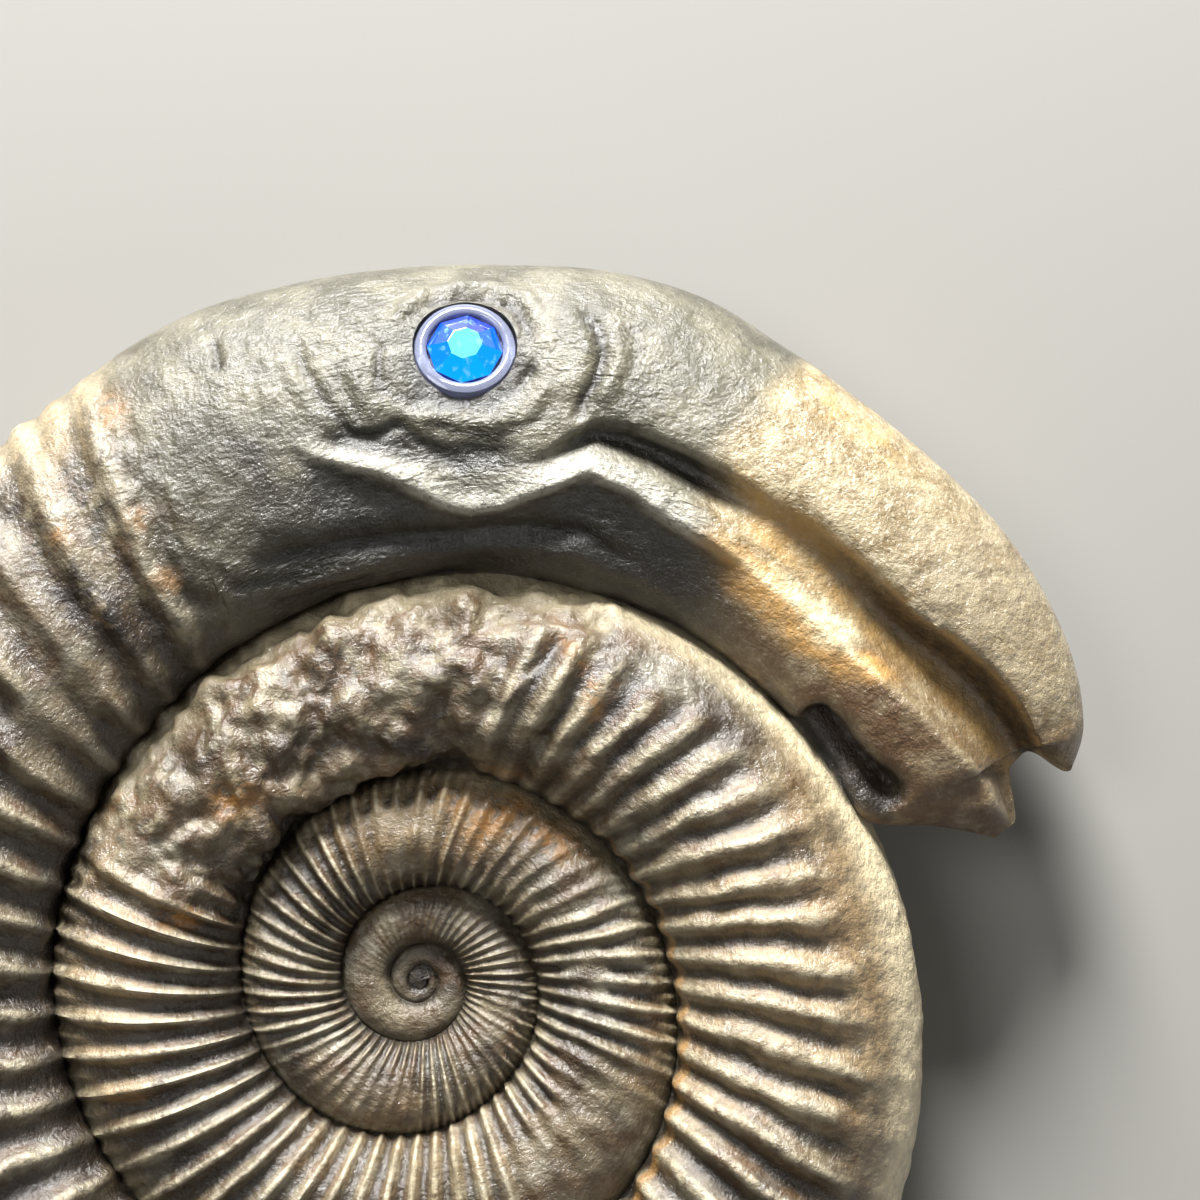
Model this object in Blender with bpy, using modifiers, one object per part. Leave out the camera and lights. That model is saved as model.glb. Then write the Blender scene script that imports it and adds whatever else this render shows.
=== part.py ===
"""A fossil ammonite whose last whorl is carved as a snake's head, with a glass stone set in each eye.

The fossil is one piece of stone. It lies on its flank: +Z is the axis of the coil, and z = 0 is the
surface it rests on. Seen from above, the coil grows clockwise. A place on the coil is given by its
growth, in turns: growth 0 is at +X on the last whorl, 0.25 is a quarter turn clockwise from there,
and -1 is the same ray on the whorl inside it.
"""

import bisect
import math

import bmesh
import bpy
import numpy as np
from mathutils import Matrix, Vector

MM = 0.001

# The line where each whorl meets the one inside it: growth in turns, radius in mm.
SEAM_RADIUS = [
    (-3.0, 1.0), (-2.5, 1.6), (-2.25, 2.05), (-2.0, 2.6), (-1.75, 3.4), (-1.5, 4.35), (-1.25, 5.35),
    (-1.0, 6.7), (-0.875, 7.4), (-0.75, 8.5), (-0.625, 9.3), (-0.5, 9.9), (-0.375, 10.8), (-0.25, 11.9),
    (-0.125, 12.75), (0.0, 14.3), (0.125, 16.4), (0.25, 18.1), (0.375, 19.5), (0.5, 20.3), (0.625, 20.7),
    (0.75, 22.6), (0.875, 25.0), (1.0, 27.4), (1.125, 30.4), (1.25, 32.6), (1.375, 34.3), (1.5, 35.9),
    (1.625, 37.2), (1.75, 38.6), (1.875, 39.6), (2.0, 40.2),
]
# Half the thickness of the whorl at its crest, in mm, without the ribs. It closes at the snout.
HALF_THICKNESS = [
    (-2.5, 0.9), (-2.3, 1.6), (-2.0, 2.2), (-1.5, 3.1), (-1.0, 4.3), (-0.5, 5.6), (-0.1, 6.7), (0.0, 6.9),
    (0.25, 7.0), (0.5, 7.15), (0.66, 7.2), (0.78, 7.2), (0.85, 6.7), (0.9, 5.9), (0.93, 5.1), (0.948, 4.0),
    (0.959, 2.4), (0.9635, 0.0),
]
# The head's crown and the underside of its jaw where it is free: growth in turns, radius in mm.
CROWN_RADIUS = [
    (0.62, 38.1), (0.66, 39.0), (0.69, 39.6), (0.72, 39.8), (0.745, 40.1), (0.77, 40.5), (0.795, 41.3),
    (0.818, 41.6), (0.84, 41.15), (0.865, 40.95), (0.89, 41.2), (0.91, 41.45), (0.933, 41.2), (0.948, 40.6),
    (0.957, 39.8), (0.9635, 38.6),
]
JAW_RADIUS = [(0.93, 26.1), (0.94, 26.4), (0.946, 27.2), (0.95, 28.6), (0.955, 30.2), (0.9595, 31.9), (0.9635, 33.4)]

# The coil.
INNERMOST = -2.5  # the growth where the shell starts
RIBS_A_TURN = 54
RIB_LEAN = 0.013  # turns that a rib leans forward from its seam to the next
RIB_HEIGHT = 0.055  # rib relief, as a share of the whorl's height
WORN_FROM, WORN_BY = 0.575, 0.62  # growth over which the ribs sink to the low ones before the neck
CREST_SHARE = 0.5  # where the whorl is thickest, from its seam to the next one
COVER_ANGLE = 65.0  # the outer face is exposed up to here, in degrees from its crest
REST_DEPTH = 7.05  # mm from the middle plane to the worn underside
COIL_AXIS = (-0.25, -3.3)  # mm from the origin, which is under the middle of the object

# The head.
NECK_START, NECK_END = 0.655, 0.70  # the ribs are carved away here
HEAD_SKEW = 0.013  # turns that the crown lies behind the jaw at the snout
JAW_LIFT = 100 / 108  # grid growth where the jaw parts from the whorl under it
SNOUT_END = 0.9635
MORPH = 0.4  # share of the free length over which the jaw takes its own round section

# The eye: a glass stone in a dish of clear resin, in a drilled socket.
EYE_GROWTH = 0.7625
EYE_RADIUS = 35.5  # mm from the coil's axis
EYE_TILT = 24.0  # degrees that its face leans towards the crown
EYE_SINK = 0.62  # mm that the stone's girdle is under the skin
STONE_RADIUS, TABLE_RADIUS = 2.0, 0.95
STONE_CROWN, STONE_BASE = 0.75, 0.45
RESIN_RADIUS, RESIN_FLOOR, RESIN_LIP = 2.8, 0.35, 0.15
GAP = 0.25  # mm between pieces

# The carved mouth: centre of the channel as seen from above, mm from the coil's axis, then its
# height above the middle plane and its radius.
MOUTH_PATH = [
    (9.6, 30.4, 7.5, 0.6), (12.4, 29.9, 7.4, 0.9), (15.7, 28.3, 7.3, 1.1), (18.2, 26.9, 7.3, 1.4),
    (21.3, 24.2, 7.1, 1.8), (24.6, 21.1, 6.8, 2.1), (27.9, 17.8, 6.2, 2.3), (31.0, 14.4, 5.2, 2.4),
    (33.2, 11.7, 3.4, 2.3), (34.9, 9.8, 0.9, 2.15), (36.6, 7.8, -0.6, 2.1),
]
# The folds carved round the eye and along the lip, in mm from the coil's axis, and how thick they are.
LIP_FOLD = [
    (-5.9, 29.4), (-3.2, 29.2), (-0.9, 28.3), (1.3, 26.9), (2.9, 26.4), (5.2, 26.7), (7.9, 28.1),
    (10.2, 28.9), (12.9, 28.1), (16.0, 26.6), (17.9, 25.6),
]
EYE_FOLD = [
    (-2.3, 35.3), (-1.8, 32.8), (0.2, 31.1), (2.9, 30.0), (6.3, 30.3), (9.1, 31.7), (10.2, 33.6),
    (10.2, 36.4), (8.8, 38.1),
]
FOLD_RADIUS = 0.6
FOLD_SINK = 0.25  # mm that the middle of a fold is under the skin
# Where the ribs are lost to rough broken stone, in growth.
BROKEN_START, BROKEN_END = -0.42, -0.19
# The grid: columns of the loft, two to a rib, and its rows from seam to venter, in degrees.
COLUMNS_A_TURN = 2 * RIBS_A_TURN
FINE_ROWS = [("in", 0.0), ("in", 30.0), ("in", 60.0), ("in", 90.0), ("out", 35.0), ("out", COVER_ANGLE)]
COARSE_ROWS = [("in", 0.0), ("in", 60.0), ("in", 90.0), ("out", COVER_ANGLE)]
VENTER = ("out", 90.0)
COARSE_END = JAW_LIFT - 2  # the inner whorls up to here have fewer rows
FREE_COLUMNS = [0.2, 0.4, 0.6, 0.78, 0.92, 1.0]  # from the jaw's lift to the snout


def curve_through(points):
    """A smooth function through (place, value) pairs, with the slope of its neighbours at each."""
    xs = [p[0] for p in points]
    ys = [p[1] for p in points]
    slopes = np.gradient(ys, xs)

    def value(x):
        i = min(max(bisect.bisect_right(xs, x) - 1, 0), len(xs) - 2)
        span = xs[i + 1] - xs[i]
        u = min(max((x - xs[i]) / span, 0.0), 1.0)
        rise = (2 * u**3 - 3 * u**2 + 1) * ys[i] + (3 * u**2 - 2 * u**3) * ys[i + 1]
        return rise + span * ((u**3 - 2 * u**2 + u) * slopes[i] + (u**3 - u**2) * slopes[i + 1])

    return value


seam_radius = curve_through(SEAM_RADIUS)
half_thickness = curve_through(HALF_THICKNESS)
crown_radius = curve_through(CROWN_RADIUS)
jaw_radius = curve_through(JAW_RADIUS)


def smooth_step(low, high, x):
    u = min(max((x - low) / (high - low), 0.0), 1.0)
    return u * u * (3 - 2 * u)


def bump(low, high, x):
    """0 outside low to high, and 1 at the middle."""
    u = (x - low) / (high - low)
    return math.sin(math.pi * u) ** 2 if 0 < u < 1 else 0.0


def row_share(row):
    """How far a row lies from its own seam, 0, to the next one, 1."""
    side, degrees = row
    if side == "in":
        return 0.5 * (1 - math.cos(math.radians(degrees)))
    return 0.5 + 0.5 * math.sin(math.radians(degrees)) / math.sin(math.radians(COVER_ANGLE))


def venter_radius(growth):
    """The outermost radius, which lies a little past the seam of the whorl that covers it."""
    cover, seam = seam_radius(growth + 1), seam_radius(growth)
    crest = seam + CREST_SHARE * (cover - seam)
    coil = crest + (cover - crest) / math.sin(math.radians(COVER_ANGLE))
    carved = smooth_step(NECK_START, NECK_END, growth)
    return coil + carved * (crown_radius(growth) - coil) if carved else coil


def rib_height(growth, row):
    """Height of the rib at a crest column in mm: low at the seam, full over the flank, low on the venter."""
    side, degrees = row
    window = 0.2 + 0.8 * math.sin(math.radians(degrees)) if side == "in" else 1 - 0.5 * (degrees / 90) ** 2
    height = RIB_HEIGHT * (seam_radius(growth + 1) - seam_radius(growth)) * window
    height *= smooth_step(-2.1, -1.4, growth)
    height *= 1 - 0.55 * smooth_step(WORN_FROM, WORN_BY, growth)
    height *= 1 - smooth_step(NECK_START, NECK_END, growth)
    return height * (1 - 0.9 * bump(BROKEN_START, BROKEN_END, growth))


def place(growth, radius, height):
    """The point on that ray of the coil, in mm, with the middle plane at 0."""
    angle = -2 * math.pi * growth
    return (radius * math.cos(angle), radius * math.sin(angle), height)


def leaned(column_growth, share):
    """The growth of a column of the grid at a share of its way out: the ribs lean forward as they go out."""
    return column_growth + RIB_LEAN * (column_growth + share)


def flank_point(growth, row, rib):
    """A point of the coil's skin. rib is 1 on a rib's crest and 0 in the groove beside it."""
    side, degrees = row
    if row == FINE_ROWS[0] and growth - 1 >= leaned(INNERMOST, 1):
        return flank_point(growth - 1, ("out", COVER_ANGLE), rib)
    seam, venter = seam_radius(growth), venter_radius(growth)
    crest = seam + CREST_SHARE * (seam_radius(growth + 1) - seam)
    base = half_thickness(growth - 1) * math.cos(math.radians(COVER_ANGLE)) if growth > -2 else 0.3
    thick = half_thickness(growth)
    lift = (rib - 0.5) * rib_height(growth, row)
    turn = math.radians(degrees)
    if side == "in":
        radius = seam + (crest - seam) * (1 - math.cos(turn)) - lift * math.cos(turn)
        height = base + (thick - base) * math.sin(turn) + lift * math.sin(turn)
    else:
        radius = crest + (venter - crest) * math.sin(turn) + lift * math.sin(turn)
        height = thick * math.cos(turn) + lift * math.cos(turn)
    if abs(degrees - 90) < 1e-6 and side == "out":
        height = 0.0
    share = (radius - seam) / (venter - seam)
    skew = HEAD_SKEW * smooth_step(NECK_END, SNOUT_END, growth) * share
    return place(growth - skew, radius, height)


def free_point(growth, around):
    """A point of the free head. around is in degrees, from the crown at 0 to the jaw's underside at 180."""
    crown, jaw = crown_radius(growth), jaw_radius(growth)
    turn = math.radians(around)
    radius = (crown + jaw) / 2 + (crown - jaw) / 2 * math.cos(turn)
    height = half_thickness(growth) * math.sin(turn) ** 0.8 if 0 < around < 180 else 0.0
    share = (radius - jaw) / (crown - jaw)
    return place(growth - HEAD_SKEW * smooth_step(NECK_END, SNOUT_END, growth) * share, radius, height)


def around_of(row):
    """The angle on the free head that carries on a row of the coil."""
    side, degrees = row
    if side == "under":
        return degrees
    return 90 + (90 - degrees) * 65 / 90 if side == "in" else 90 - degrees


def skin(bm, first, second):
    """Faces between two rows of vertices, each a list of (key, vertex). The first row's keys are among the second's."""
    keys = [key for key, _ in second]
    for (key_a, vertex_a), (key_b, vertex_b) in zip(first, first[1:]):
        low, high = keys.index(key_a), keys.index(key_b)
        between = [vertex for _, vertex in second[low : high + 1]]
        ring = [vertex_a, *between, vertex_b]
        corners = [v for i, v in enumerate(ring) if v not in ring[:i]]
        if len(corners) > 2:
            bm.faces.new(corners)


def half_shell(bm):
    """The upper half of the fossil, open at its middle plane: a loft of sections along the coil."""
    edge = {}  # the covered edge of each column, where the next whorl's seam joins it
    start = round(INNERMOST * COLUMNS_A_TURN)
    lift = round(JAW_LIFT * COLUMNS_A_TURN)
    coarse_end = round(COARSE_END * COLUMNS_A_TURN)
    first_open = lift - COLUMNS_A_TURN

    def new(point):
        return bm.verts.new(Vector(point) * MM)

    last, inner_edge, first_row, venter_row = None, [], None, None
    for column in range(start, lift + 1):
        growth, rib = column / COLUMNS_A_TURN, 1.0 - column % 2
        rows = FINE_ROWS if column >= coarse_end else COARSE_ROWS
        row = []
        for key in rows:
            if key == FINE_ROWS[0] and column - COLUMNS_A_TURN in edge:
                row.append((key, edge[column - COLUMNS_A_TURN]))
            else:
                row.append((key, new(flank_point(leaned(growth, row_share(key)), key, rib))))
        edge[column] = row[-1][1]
        if column < start + COLUMNS_A_TURN:
            inner_edge.append(row[0][1])
        first_row = first_row or row
        if column == first_open:
            # The venter of this column is where the free jaw's underside starts.
            venter_row = row + [(VENTER, new(flank_point(leaned(growth, 1), VENTER, rib)))]
        elif column > first_open:
            row = row + [(VENTER, new(flank_point(leaned(growth, 1), VENTER, rib)))]
        if last:
            skin(bm, venter_row if column == first_open + 1 else last, row)
        last = row

    # The hole in the middle of the first turn closes on the embryonic shell.
    middle = new((0.0, 0.0, 0.9))
    ring = inner_edge + [edge[start]] + [v for _, v in reversed(first_row[1:-1])]
    for a, b in zip(ring, ring[1:] + ring[:1]):
        bm.faces.new((a, middle, b))

    # The free part of the head, with an underside of its own.
    under = [("under", 180.0), ("under", 168.0)]
    last = [(under[0], venter_row[-1][1])] + last
    for along in FREE_COLUMNS:
        row = []
        for key in under + FINE_ROWS + [VENTER]:
            lifted = leaned(JAW_LIFT, 0 if key[0] == "under" else min(row_share(key), 1))
            growth = lifted + along * (SNOUT_END - lifted)
            point = Vector(free_point(growth, around_of(key)))
            free = smooth_step(0, MORPH, along)
            if key[0] != "under" and free < 1:
                point = Vector(flank_point(growth, key, 0.5)).lerp(point, free)
            row.append((key, new(point)))
        skin(bm, last, row)
        last = row


def mesh_object(name, bm, collection):
    mesh = bpy.data.meshes.new(name)
    bm.to_mesh(mesh)
    bm.free()
    obj = bpy.data.objects.new(name, mesh)
    collection.objects.link(obj)
    return obj


def hide_cutter(obj):
    obj.hide_render = True
    obj.display_type = "WIRE"
    return obj


def boolean(obj, other, name, operation="DIFFERENCE"):
    modifier = obj.modifiers.new(name, "BOOLEAN")
    modifier.operation = operation
    modifier.object = other
    modifier.solver = "EXACT"


def finish_of(name, colour, roughness, transmission=0.0):
    material = bpy.data.materials.new(name)
    material.use_nodes = True
    shader = material.node_tree.nodes["Principled BSDF"]
    shader.inputs["Base Color"].default_value = (*colour, 1.0)
    shader.inputs["Roughness"].default_value = roughness
    shader.inputs["Transmission Weight"].default_value = transmission
    return material


def skin_height(growth, radius):
    """Height of the head's flank above the middle plane, in mm."""
    seam, venter = seam_radius(growth), venter_radius(growth)
    crest = seam + CREST_SHARE * (seam_radius(growth + 1) - seam)
    thick = half_thickness(growth)
    if radius > crest:
        return thick * math.sqrt(max(1 - ((radius - crest) / (venter - crest)) ** 2, 0.0))
    base = half_thickness(growth - 1) * math.cos(math.radians(COVER_ANGLE))
    return base + (thick - base) * math.sqrt(max(1 - ((crest - radius) / (crest - seam)) ** 2, 0.0))


def eye_frame(side):
    """The eye's place and turn: its own +Z points out of the head. side is 1 in front and -1 at the back."""
    x, y, z = place(EYE_GROWTH, EYE_RADIUS, skin_height(EYE_GROWTH, EYE_RADIUS))
    outward = Vector((x, y, 0)).normalized()
    tilt = math.radians(EYE_TILT)
    normal = outward * math.sin(tilt) + Vector((0, 0, math.cos(tilt)))
    centre = Vector((x, y, z)) - normal * EYE_SINK
    centre.z *= side
    normal.z *= side
    along = Vector((0, 0, 1)).cross(outward).normalized()
    turn = Matrix((along, normal.cross(along), normal)).transposed().to_4x4()
    return Matrix.Translation(centre * MM) @ turn


def turned(profile, steps, name, collection):
    """A turned solid from its outline, listed down the outside, as (radius, height) in mm."""
    bm = bmesh.new()
    points = [bm.verts.new((r * MM, 0, z * MM)) for r, z in profile]
    for a, b in zip(points, points[1:]):
        bm.edges.new((a, b))
    obj = mesh_object(name, bm, collection)
    screw = obj.modifiers.new("turn", "SCREW")
    screw.steps = screw.render_steps = steps
    screw.use_merge_vertices = True
    screw.merge_threshold = 1e-6
    return obj


def eye_stone(name, collection):
    """An eight-sided crown on a flat base, cut from a cone."""
    bm = bmesh.new()
    bmesh.ops.create_cone(
        bm, cap_ends=True, segments=8, depth=STONE_CROWN * MM,
        radius1=STONE_RADIUS * MM, radius2=TABLE_RADIUS * MM,
    )
    bmesh.ops.translate(bm, verts=bm.verts, vec=(0, 0, STONE_CROWN / 2 * MM))
    base = min(bm.faces, key=lambda f: f.calc_center_median().z)
    wall = bmesh.ops.extrude_face_region(bm, geom=[base])
    bmesh.ops.delete(bm, geom=[base], context="FACES")
    lower = [v for v in wall["geom"] if isinstance(v, bmesh.types.BMVert)]
    bmesh.ops.translate(bm, verts=lower, vec=(0, 0, -STONE_BASE * MM))
    bmesh.ops.recalc_face_normals(bm, faces=bm.faces)
    return mesh_object(name, bm, collection)


def resin_dish(name, collection):
    """The resin: a dish that the stone sits in."""
    top, floor = RESIN_LIP, -STONE_BASE - GAP
    well = STONE_RADIUS + GAP
    profile = [(0, floor), (well, floor), (well, top), (RESIN_RADIUS, top - 0.1), (RESIN_RADIUS, floor - RESIN_FLOOR)]
    return turned(profile + [(0, floor - RESIN_FLOOR)], 24, name, collection)


def socket_cutter(name, collection):
    depth = STONE_BASE + 2 * GAP + RESIN_FLOOR
    profile = [(0, 3.0), (RESIN_RADIUS + GAP + 0.6, 3.0), (RESIN_RADIUS + GAP, 0.2), (RESIN_RADIUS + GAP, -depth)]
    return hide_cutter(turned(profile + [(0, -depth)], 24, name, collection))


def tube(name, path, side, roundness, collection):
    """A closed tube along a path of (x, y, z, radius), on the front or mirrored to the back."""
    curve = bpy.data.curves.new(name, "CURVE")
    curve.dimensions = "3D"
    curve.bevel_depth = MM
    curve.bevel_resolution = roundness
    curve.use_fill_caps = True
    spline = curve.splines.new("POLY")
    spline.points.add(len(path) - 1)
    for point, (x, y, z, radius) in zip(spline.points, path):
        point.co = (x * MM, y * MM, side * z * MM, 1)
        point.radius = radius
    line = bpy.data.objects.new(name + "_line", curve)
    collection.objects.link(line)
    bpy.context.view_layer.update()
    mesh = bpy.data.meshes.new_from_object(line.evaluated_get(bpy.context.evaluated_depsgraph_get()))
    bm = bmesh.new()
    bm.from_mesh(mesh)
    bmesh.ops.remove_doubles(bm, verts=bm.verts, dist=1e-6)
    bmesh.ops.recalc_face_normals(bm, faces=bm.faces)
    bpy.data.objects.remove(line)
    return hide_cutter(mesh_object(name, bm, collection))


def fold(name, corners, side, collection):
    """A ridge that follows the skin of the head and fades into it at both ends."""
    path = []
    for i, (x, y) in enumerate(corners):
        growth = (-math.atan2(y, x) / (2 * math.pi)) % 1.0
        end = min(i, len(corners) - 1 - i) == 0
        height = skin_height(growth, math.hypot(x, y)) - (FOLD_RADIUS if end else FOLD_SINK)
        path.append((x, y, height, FOLD_RADIUS))
    return tube(name, path, side, 1, collection)


def underside_cutter(collection):
    """Everything below the plane that the fossil rests on, where its ribs are worn flat."""
    bm = bmesh.new()
    bmesh.ops.create_cube(bm, size=100 * MM)
    bmesh.ops.translate(bm, verts=bm.verts, vec=(0, 0, -(REST_DEPTH + 50) * MM))
    return hide_cutter(mesh_object("underside_cutter", bm, collection))


def build_fossil(parts, cutters):
    bm = bmesh.new()
    half_shell(bm)
    fossil = mesh_object("ammonite", bm, parts)
    mirror = fossil.modifiers.new("other side", "MIRROR")
    mirror.use_axis = (False, False, True)
    mirror.merge_threshold = 1e-6
    for side, where in ((1, "front"), (-1, "back")):
        for name, corners in (("lip", LIP_FOLD), ("eye", EYE_FOLD)):
            ridge = fold(f"{where}_{name}_fold", corners, side, cutters)
            boolean(fossil, ridge, f"{where} {name} fold", "UNION")
        boolean(fossil, tube(f"{where}_mouth_cutter", MOUTH_PATH, side, 2, cutters), f"{where} mouth")
        socket = socket_cutter(f"{where}_socket_cutter", cutters)
        socket.matrix_world = eye_frame(side)
        boolean(fossil, socket, f"{where} socket")
    boolean(fossil, underside_cutter(cutters), "worn underside")
    fossil.data.materials.append(finish_of("waxed_stone", (0.115, 0.1, 0.078), 0.38))
    return fossil


def build_eyes(parts):
    glass = finish_of("blue_glass", (0.01, 0.14, 0.85), 0.05, 0.6)
    resin = finish_of("clear_resin", (0.8, 0.82, 0.85), 0.1, 0.9)
    for side, where in ((1, "front"), (-1, "back")):
        stone = eye_stone(f"{where}_eye_stone", parts)
        dish = resin_dish(f"{where}_eye_resin", parts)
        stone.data.materials.append(glass)
        dish.data.materials.append(resin)
        stone.matrix_world = eye_frame(side)
        dish.matrix_world = eye_frame(side)


def main():
    for obj in list(bpy.data.objects):
        bpy.data.objects.remove(obj)
    parts = bpy.data.collections.new("fossil_ammonite")
    cutters = bpy.data.collections.new("cutters")
    for collection in (parts, cutters):
        bpy.context.scene.collection.children.link(collection)
    build_fossil(parts, cutters)
    build_eyes(parts)
    # The coil's axis goes to its place, and the worn underside to z = 0.
    carrier = bpy.data.objects.new("fossil_place", None)
    parts.objects.link(carrier)
    for obj in list(parts.objects) + list(cutters.objects):
        if obj is not carrier:
            obj.parent = carrier
    carrier.location = (COIL_AXIS[0] * MM, COIL_AXIS[1] * MM, REST_DEPTH * MM)


main()
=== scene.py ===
"""Looks of a fossil ammonite whose last whorl is carved as a snake's head, lying on its flank.

Every length named here is in mm from the coil's axis and middle plane, unless it says otherwise, and
a place on the coil is given by its growth in turns, which runs clockwise as seen from above.
"""

import math

import bmesh
import bpy
import numpy as np
from mathutils import Matrix, Vector, kdtree, noise


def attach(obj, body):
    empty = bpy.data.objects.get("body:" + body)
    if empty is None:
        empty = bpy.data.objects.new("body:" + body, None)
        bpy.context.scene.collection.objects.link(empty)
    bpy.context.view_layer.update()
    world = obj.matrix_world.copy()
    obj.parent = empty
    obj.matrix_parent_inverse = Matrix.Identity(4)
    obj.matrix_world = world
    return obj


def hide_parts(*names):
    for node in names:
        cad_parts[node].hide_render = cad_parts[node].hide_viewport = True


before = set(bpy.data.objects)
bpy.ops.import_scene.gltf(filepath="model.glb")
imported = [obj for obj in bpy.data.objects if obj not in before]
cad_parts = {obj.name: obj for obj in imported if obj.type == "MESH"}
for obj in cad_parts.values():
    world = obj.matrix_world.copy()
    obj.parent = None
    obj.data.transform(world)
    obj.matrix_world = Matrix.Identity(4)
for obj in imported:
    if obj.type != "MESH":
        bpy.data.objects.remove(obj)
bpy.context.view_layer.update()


# The shell and its head. One piece of fossil stone: a ribbed coil whose last whorl was carved with a
# rotary tool and files into a snake's head with an open mouth, then waxed and buffed. It is modelled
# as one closed skin, lofted along the coil, because its whorls grow out of each other.
MM = 0.001
AXIS = (-0.25, -3.3)  # mm from the origin of the frame
REST_DEPTH = 7.05  # mm from the middle plane to the worn underside
SEAM_RADIUS = [
    (-5.5, 0.1), (-5.0, 0.18), (-4.5, 0.28), (-4.0, 0.42), (-3.5, 0.66), (-3.0, 1.0), (-2.5, 1.6),
    (-2.25, 2.05), (-2.0, 2.6), (-1.75, 3.4), (-1.5, 4.35), (-1.25, 5.35), (-1.0, 6.7), (-0.875, 7.4),
    (-0.75, 8.5), (-0.625, 9.3), (-0.5, 9.9), (-0.375, 10.8), (-0.25, 11.9), (-0.125, 12.75),
    (0.0, 14.3), (0.125, 16.4), (0.25, 18.1), (0.375, 19.5), (0.5, 20.3), (0.625, 20.7), (0.75, 22.6),
    (0.875, 25.0), (1.0, 27.4), (1.125, 30.4), (1.25, 32.6), (1.375, 34.3), (1.5, 35.9),
    (1.625, 37.2), (1.75, 38.6), (1.875, 39.6), (2.0, 40.2),
]
HALF_THICKNESS = [
    (-5.5, 0.05), (-4.5, 0.2), (-4.0, 0.3), (-3.5, 0.45), (-3.0, 0.7), (-2.5, 1.25), (-2.25, 1.7),
    (-2.0, 2.2), (-1.5, 3.1), (-1.0, 4.3), (-0.5, 5.6), (-0.1, 6.7), (0.0, 6.9), (0.25, 7.0),
    (0.5, 7.15), (0.66, 7.2), (0.78, 7.2), (0.85, 6.7), (0.9, 5.9), (0.93, 5.1), (0.948, 4.0),
    (0.959, 2.4), (0.9635, 0.0),
]
CROWN_RADIUS = [
    (0.62, 38.1), (0.66, 39.0), (0.69, 39.6), (0.72, 39.8), (0.745, 40.1), (0.77, 40.5),
    (0.795, 41.3), (0.818, 41.6), (0.84, 41.15), (0.865, 40.95), (0.89, 41.2), (0.91, 41.45),
    (0.933, 41.2), (0.948, 40.6), (0.957, 39.8), (0.9635, 38.6),
]
JAW_RADIUS = [
    (0.93, 26.1), (0.94, 26.4), (0.946, 27.2), (0.95, 28.6), (0.955, 30.2), (0.9595, 31.9), (0.9635, 33.4),
]
RIBS_A_TURN = 54
RIB_LEAN = 0.013  # turns that a rib leans forward from its seam to the next
RIB_HEIGHT = 0.066  # rib relief, as a share of the whorl's height
COVER_ANGLE = 65.0  # degrees past its crest where a whorl goes under the next one
NECK_START, NECK_END = 0.655, 0.70
HEAD_SKEW = 0.013  # turns that the crown lies behind the jaw at the snout
SNOUT_END = 0.9635
MORPH = 0.8  # share of the free length over which the jaw takes its own round section


def curve_through(points):
    """A smooth function through (place, value) pairs, for a whole array of places at once."""
    xs, ys = np.array(points, float).T
    slopes = np.gradient(ys, xs)

    def value(x):
        x = np.clip(x, xs[0], xs[-1])
        i = np.clip(np.searchsorted(xs, x, side="right") - 1, 0, len(xs) - 2)
        span = xs[i + 1] - xs[i]
        u = (x - xs[i]) / span
        rise = (2 * u**3 - 3 * u**2 + 1) * ys[i] + (3 * u**2 - 2 * u**3) * ys[i + 1]
        return rise + span * ((u**3 - 2 * u**2 + u) * slopes[i] + (u**3 - u**2) * slopes[i + 1])

    return value


seam_radius = curve_through(SEAM_RADIUS)
half_thickness = curve_through(HALF_THICKNESS)
crown_radius = curve_through(CROWN_RADIUS)
jaw_radius = curve_through(JAW_RADIUS)


def ease(low, high, x):
    u = np.clip((x - low) / (high - low), 0.0, 1.0)
    return u * u * (3 - 2 * u)


def swell(low, high, x):
    """0 outside low to high, and 1 in the middle."""
    return np.sin(np.pi * np.clip((x - low) / (high - low), 0.0, 1.0)) ** 2


def on_ray(growth, radius, height):
    turn = -2 * np.pi * growth
    return np.stack(np.broadcast_arrays(radius * np.cos(turn), radius * np.sin(turn), height), axis=-1)


def whorl_skin(growth, angle):
    """The smooth whorl under its ribs. angle is 0 at its seam, 90 at its crest and 180 on the venter."""
    cover, seam = seam_radius(growth + 1), seam_radius(growth)
    crest = (seam + cover) / 2
    venter = crest + (cover - crest) / math.sin(math.radians(COVER_ANGLE))
    venter += ease(NECK_START, NECK_END, growth) * (crown_radius(growth) - venter)
    base = half_thickness(growth - 1) * math.cos(math.radians(COVER_ANGLE))
    thick = half_thickness(growth)
    turn = np.radians(angle)
    inner = angle <= 90
    rising = seam + (crest - seam) * (1 - np.cos(turn))
    radius = np.where(inner, rising, crest - (venter - crest) * np.cos(turn))
    height = np.where(inner, base + (thick - base) * np.sin(turn), thick * np.sin(turn))
    share = (radius - seam) / (venter - seam)
    return on_ray(growth - HEAD_SKEW * ease(NECK_END, SNOUT_END, growth) * share, radius, height)


def free_jaw_skin(growth, around):
    """The head where it stands free. around is 0 on the crown and 180 under the jaw."""
    crown, jaw = crown_radius(growth), jaw_radius(growth)
    turn = np.radians(around)
    radius = (crown + jaw) / 2 + (crown - jaw) / 2 * np.cos(turn)
    height = half_thickness(growth) * np.maximum(np.sin(turn), 0.0)
    share = (radius - jaw) / (crown - jaw)
    # The mouth opens at the snout's end as a notch between the two jaws.
    notch = 0.0125 * ease(0.25, 0.37, share) * (1 - ease(0.56, 1.0, share)) + 0.002 * (1 - share)
    notch *= ease(0.94, SNOUT_END, growth)
    return on_ray(growth - HEAD_SKEW * ease(NECK_END, SNOUT_END, growth) * share - notch, radius, height)


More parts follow.
